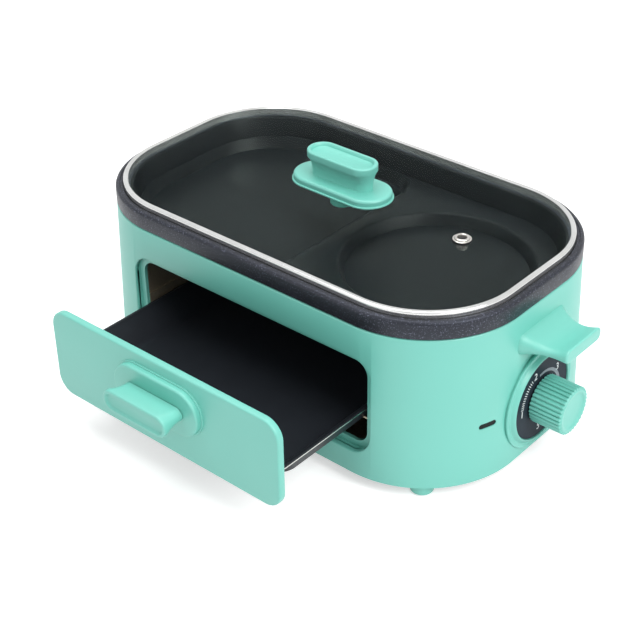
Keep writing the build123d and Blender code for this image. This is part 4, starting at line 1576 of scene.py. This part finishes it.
@dataclass
class HeatDial:
    """The dial on the right end: bezel, marked plate and ribbed knob."""

    palette: Palette
    height: float = 47.2
    end_wall: float = 166.977
    bezel_radius: float = 37.5
    bezel_step: float = 0.8
    bezel_foot: tuple[float, float] = (-0.6, 0.5)
    bezel_flare: float = 0.2
    bezel_round: float = 1.0
    inner_lip_width: float = 0.9
    hollow_steps: int = 16
    inner_edge: tuple[tuple[float, float], ...] = ((0.3, 0.0), (0.2, -0.25))
    outer_lip: float = 2.0
    inner_lip: float = 3.9
    hollow_depth: float = 1.7
    plate_radius: float = 30.0
    plate_front: float = 170.08
    plate_thickness: float = 1.2
    plate_rings: tuple[tuple[float, float], ...] = ((0.3, 0.25), (8.0, 0.0), (3.0, -0.15))
    mark_radius: float = 22.8
    tick_count: int = 13
    tick_start: float = 275.0
    tick_pitch: float = 4.2
    tick_half: tuple[float, float] = (0.24, 1.5)
    mark_gap: float = 0.02
    tick_height: float = 0.05
    number_size: float = 7.6
    number_depth: float = 0.03
    number_angles: tuple[float, ...] = (265.0, 336.0, 47.0, 117.0, 184.0)
    band_radius: float = 19.8
    band_angles: tuple[float, float] = (347.0, 462.0)
    band_half: float = 0.6
    band_length: tuple[float, float] = (1.8, 3.0)
    band_height: float = 0.04
    band_count: int = 26
    knob_back: float = 170.88
    knob_length: float = 24.0
    knob_radius: float = 15.4
    rib_radius: float = 1.2
    rib_rise: float = 1.55
    rib_count: int = 34
    rib_foot: float = 0.4
    rib_tip: tuple[tuple[float, float], ...] = ((0.35, 0.3), (0.35, 0.12))
    knob_rim: float = 1.2
    knob_dish: tuple[tuple[float, float], ...] = (
        *((0.5, 0.0), (0.5, -0.15), (0.5, -0.4), (0.5, -0.4)),
        *((0.8, -0.35), (1.2, -0.25), (1.8, -0.2)),
    )

    def build(self) -> list[Item]:
        """Builds the bezel, plate, marks and knob."""
        return [self.bezel(), self.plate(), *self.marks(), self.knob()]

    def to_end(self, piece: Workpiece, x: float) -> Workpiece:
        """Turns an upright piece to face the right, at the dial's centre.

        Args:
            piece: A piece that stands on zero, round the Z axis.
            x: Where its foot comes to lie.

        Returns:
            The same piece.
        """
        piece.turn("Y", 90)
        piece.shift((x, 0, self.height))
        return piece

    def bezel(self) -> Item:
        """The turquoise ring, with a shallow hollow between two rolled edges."""
        neck = self.bezel_radius - self.bezel_step
        grow = self.bezel_radius / neck
        ring = Workpiece.drum("dial_bezel_dressed", neck, *self.bezel_foot, 128)
        ring.pick_top()
        ring.extrude((0, 0, self.bezel_flare))
        ring.resize((grow, grow, 1))
        foot = self.bezel_foot[1] + self.bezel_flare + self.bezel_round
        ring.extrude((0, 0, self.outer_lip - foot))
        quarter_round(ring, self.bezel_round)
        level = self.outer_lip
        lips = self.bezel_round + self.inner_lip_width
        width = self.bezel_radius - self.plate_radius - lips
        for k in range(1, self.hollow_steps + 1):
            share = k / self.hollow_steps
            dip = self.hollow_depth * (1 - math.cos(2 * math.pi * share)) / 2
            rise = (self.inner_lip - self.outer_lip) * share**1.5
            target = self.outer_lip + rise - dip
            ring.inset(width / self.hollow_steps, target - level)
            level = target
        ring.inset_steps(self.inner_edge)
        level += sum(rise for _, rise in self.inner_edge)
        floor = self.plate_front - self.plate_thickness - self.end_wall
        ring.extrude((0, 0, floor - level))
        self.to_end(ring, self.end_wall)
        return ring.finish(self.palette.body, "housing", Slot.BODY, ("dial_bezel",), 45.0)

    def plate(self) -> Item:
        """The dark disc that carries the marks."""
        high = self.plate_thickness - self.plate_rings[0][1]
        disc = Workpiece.drum("dial_plate_dressed", self.plate_radius, 0, high, 128)
        disc.pick_top()
        disc.inset_steps(self.plate_rings)
        self.to_end(disc, self.plate_front - self.plate_thickness)
        return disc.finish(self.palette.dial, "housing", Slot.DIAL, ("dial_plate",), 30.0)

    def place_mark(self, piece: Workpiece, clock_degrees: float, radius: float) -> None:
        """Puts a mark on the plate, as seen from the right.

        Args:
            piece: A flat mark, drawn upright and facing up.
            clock_degrees: Its place, clockwise from the top.
            radius: Its distance from the dial's centre.
        """
        piece.turn("Z", 90)
        piece.turn("Y", 90)
        turn = math.radians(clock_degrees)
        across, up = radius * math.sin(turn), radius * math.cos(turn)
        piece.shift((self.plate_front + self.mark_gap, across, self.height + up))

    def marks(self) -> list[Item]:
        """The ticks, the plain numbers and the widening band on the plate."""
        made = [self.ticks()]
        for label, angle in zip("12345", self.number_angles):
            made.append(self.number(label, angle))
        return [*made, self.band()]

    def strip(
        self, name: str, half: Sequence[float], high: float, spot: Sequence[float]
    ) -> Workpiece:
        """A flat strip that points at the dial's centre.

        Args:
            name: Its name.
            half: Half its width and half its length.
            high: How far it stands out.
            spot: Its place clockwise from the top, and its radius.

        Returns:
            The strip in its place.
        """
        x, y = half
        angle, radius = spot
        strip = Workpiece.block(name, (-x, -y, 0), (x, y, high))
        strip.turn("Z", -angle)
        self.place_mark(strip, angle, radius)
        return strip

    def ticks(self) -> Item:
        """The row of ticks before the first number."""
        angles = [self.tick_start + self.tick_pitch * k for k in range(self.tick_count)]
        first, *others = [
            self.strip(f"tick_{k}", self.tick_half, self.tick_height, (angle, self.mark_radius))
            for k, angle in enumerate(angles)
        ]
        first.join(others)
        first.object.name = "dial_ticks"
        return first.finish(self.palette.marks, "housing", Slot.DIAL)

    def number(self, label: str, angle: float) -> Item:
        """One plain number on the plate.

        Args:
            label: The number.
            angle: Its place, clockwise from the top.

        Returns:
            The number as a mesh.
        """
        select_nothing()
        bpy.ops.object.text_add()
        text = bpy.context.active_object
        text.data.body = label
        text.data.size = self.number_size
        text.data.align_x = text.data.align_y = "CENTER"
        text.data.extrude = self.number_depth
        bpy.ops.object.convert(target="MESH")
        piece = Workpiece(f"dial_number_{label}")
        self.place_mark(piece, angle, self.mark_radius)
        return piece.finish(self.palette.marks, "housing", Slot.DIAL)

    def band(self) -> Item:
        """The pale band that widens between two numbers."""
        start, end = self.band_angles
        short, long = self.band_length
        wedges = []
        for k in range(self.band_count):
            angle = start + (end - start) * (k + 0.5) / self.band_count
            half = (self.band_half, (short + (long - short) * k / self.band_count) / 2)
            spot = (angle, self.band_radius)
            wedges.append(self.strip(f"wedge_{k}", half, self.band_height, spot))
        wedges[0].join(wedges[1:])
        wedges[0].object.name = "dial_band"
        return wedges[0].finish(self.palette.soft_marks, "housing", Slot.DIAL)

    def knob(self) -> Item:
        """The finely ribbed drum with a smooth rim and a dished face."""
        rim = self.knob_length - self.knob_rim
        drum = Workpiece.drum("control_knob_dressed", self.knob_radius, 0, rim, 152)
        drum.pick_top()
        quarter_round(drum, self.knob_rim, 6)
        drum.inset_steps(self.knob_dish)
        low, high = self.rib_foot, rim + self.rib_foot
        reach = self.knob_radius + self.rib_rise - self.rib_radius
        ribs = []
        for k in range(self.rib_count):
            turn = 2 * math.pi * k / self.rib_count
            rib = Workpiece.drum(f"rib_{k}", self.rib_radius, low, high, 12)
            rib.pick_top()
            rib.inset_steps(self.rib_tip)
            rib.shift((reach * math.cos(turn), reach * math.sin(turn), 0))
            ribs.append(rib)
        drum.join(ribs)
        self.to_end(drum, self.knob_back)
        return drum.finish(self.palette.body, "knob", Slot.BODY, ("control_knob",), 40.0)


@dataclass
class Studio:
    """The plain studio: floor, soft lights, world and the photograph's camera."""

    azimuth: float = 39.59
    elevation: float = 32.64
    place: Place = (555.6, -658.2, 602.8)
    lens: float = 80.03
    shift: tuple[float, float] = (-0.0550, -0.0270)
    soft_world: float = 0.45
    floor_lift: float = 0.56
    floor_size: float = 12.0
    floor_grey: float = 0.78
    lamps: tuple[tuple[str, Place, Place, float, float], ...] = (
        ("key", (-0.25, 0.0, 1.7), (0.0, 0.0, 0.1), 1.3, 17.5),
        ("fill", (-0.4, -1.7, 1.2), (0.0, 0.0, 0.08), 1.5, 5.5),
        ("side", (1.5, -0.15, 1.35), (0.0, 0.0, 0.08), 1.1, 27.0),
    )

    def build(self) -> None:
        """Sets up everything round the station."""
        self.floor()
        self.world()
        self.lights()
        self.camera()
        bpy.context.scene.view_settings.view_transform = "Standard"

    def floor(self) -> None:
        """A wide pale floor that keeps the station's shadow."""
        select_nothing()
        bpy.ops.mesh.primitive_plane_add(size=self.floor_size, location=(0, 0, 0))
        floor = bpy.context.active_object
        floor.name = "studio_floor"
        finish = Finish("studio_floor")
        finish.set(
            Roughness=0.95,
            Specular_IOR_Level=0.0,
            Base_Color=(*[self.floor_grey] * 3, 1.0),
            Emission_Color=(1.0, 1.0, 1.0, 1.0),
        )
        seen = self.seen_rays(finish.tree)
        finish.feed(Emission_Strength=finish.spread(seen, 0.0, self.floor_lift))
        floor.data.materials.append(finish.material)

    def seen_rays(self, tree: bpy.types.NodeTree) -> Socket:
        """The rays that show the background: the camera's, and those of gloss and glass.

        Args:
            tree: The node tree to add the nodes to.

        Returns:
            A socket that is 1 for such a ray and 0 for the soft light.
        """
        path = tree.nodes.new("ShaderNodeLightPath")
        seen = path.outputs["Is Camera Ray"]
        for kind in ("Is Glossy Ray", "Is Transmission Ray"):
            either = tree.nodes.new("ShaderNodeMath")
            either.operation = "MAXIMUM"
            tree.links.new(seen, either.inputs[0])
            tree.links.new(path.outputs[kind], either.inputs[1])
            seen = either.outputs[0]
        return seen

    def world(self) -> None:
        """A white surround for the camera, gloss and glass, and a softer one for light."""
        world = bpy.data.worlds.new("studio")
        bpy.context.scene.world = world
        world.use_nodes = True
        tree = world.node_tree
        back = tree.nodes["Background"]
        back.inputs["Color"].default_value = (1, 1, 1, 1)
        level = tree.nodes.new("ShaderNodeMapRange")
        level.inputs["To Min"].default_value = self.soft_world
        tree.links.new(self.seen_rays(tree), level.inputs["Value"])
        tree.links.new(level.outputs["Result"], back.inputs["Strength"])

    def lights(self) -> None:
        """A large soft key from above, a fill in front and a low light on the right."""
        for lamp in self.lamps:
            self.panel(*lamp)

    def panel(self, name: str, place: Place, target: Place, size: float, power: float) -> None:
        """Adds one square soft light.

        Args:
            name: Its name.
            place: Where it stands, in metres.
            target: What it points at.
            size: The length of its side.
            power: Its power in watts.
        """
        data = bpy.data.lights.new(name, "AREA")
        data.size = size
        data.energy = power
        lamp = bpy.data.objects.new(name, data)
        bpy.context.scene.collection.objects.link(lamp)
        lamp.location = place
        way = Vector(target) - Vector(place)
        lamp.rotation_euler = way.to_track_quat("-Z", "Y").to_euler()

    def camera(self) -> None:
        """The camera that sees the station as the photograph does."""
        data = bpy.data.cameras.new("photo")
        data.lens = self.lens
        data.sensor_width = 36.0
        data.sensor_fit = "AUTO"
        data.shift_x, data.shift_y = self.shift
        camera = bpy.data.objects.new("photo", data)
        bpy.context.scene.collection.objects.link(camera)
        x, y, z = self.place
        camera.location = (x * MM, (y + STATION.row_shift) * MM, z * MM)
        a, e = math.radians(self.azimuth), math.radians(self.elevation)
        way = Vector((-math.sin(a) * math.cos(e), math.cos(a) * math.cos(e), -math.sin(e)))
        camera.rotation_euler = way.to_track_quat("-Z", "Y").to_euler()
        bpy.context.scene.camera = camera


def dress_kept_nodes(palette: Palette) -> int:
    """Gives every CAD node that stays its procedural finish.

    Args:
        palette: The station's finishes.

    Returns:
        How many nodes were dressed.
    """
    finishes = palette.by_slot()
    for entry in frame["record"]["subparts"]:
        node = frame["nodes"][entry["node"]]
        node.data.materials.clear()
        node.data.materials.append(finishes[entry["material_slot"]])
    return len(frame["record"]["subparts"])


def main() -> None:
    """Builds the station's sub-assemblies in order and reports each piece."""
    logging.basicConfig(level=logging.INFO, format="%(name)s: %(message)s")
    palette = Palette()
    LOG.info("dressed %d CAD nodes", dress_kept_nodes(palette))
    for kind in (Housing, CookingPan, Drawer, Lid, HeatDial):
        for item in kind(palette).build():
            faces = len(item.data.polygons)
            LOG.info("%s: %s with %d faces", kind.__name__, item.name, faces)
    Studio().build()


if __name__ == "__main__":
    main()
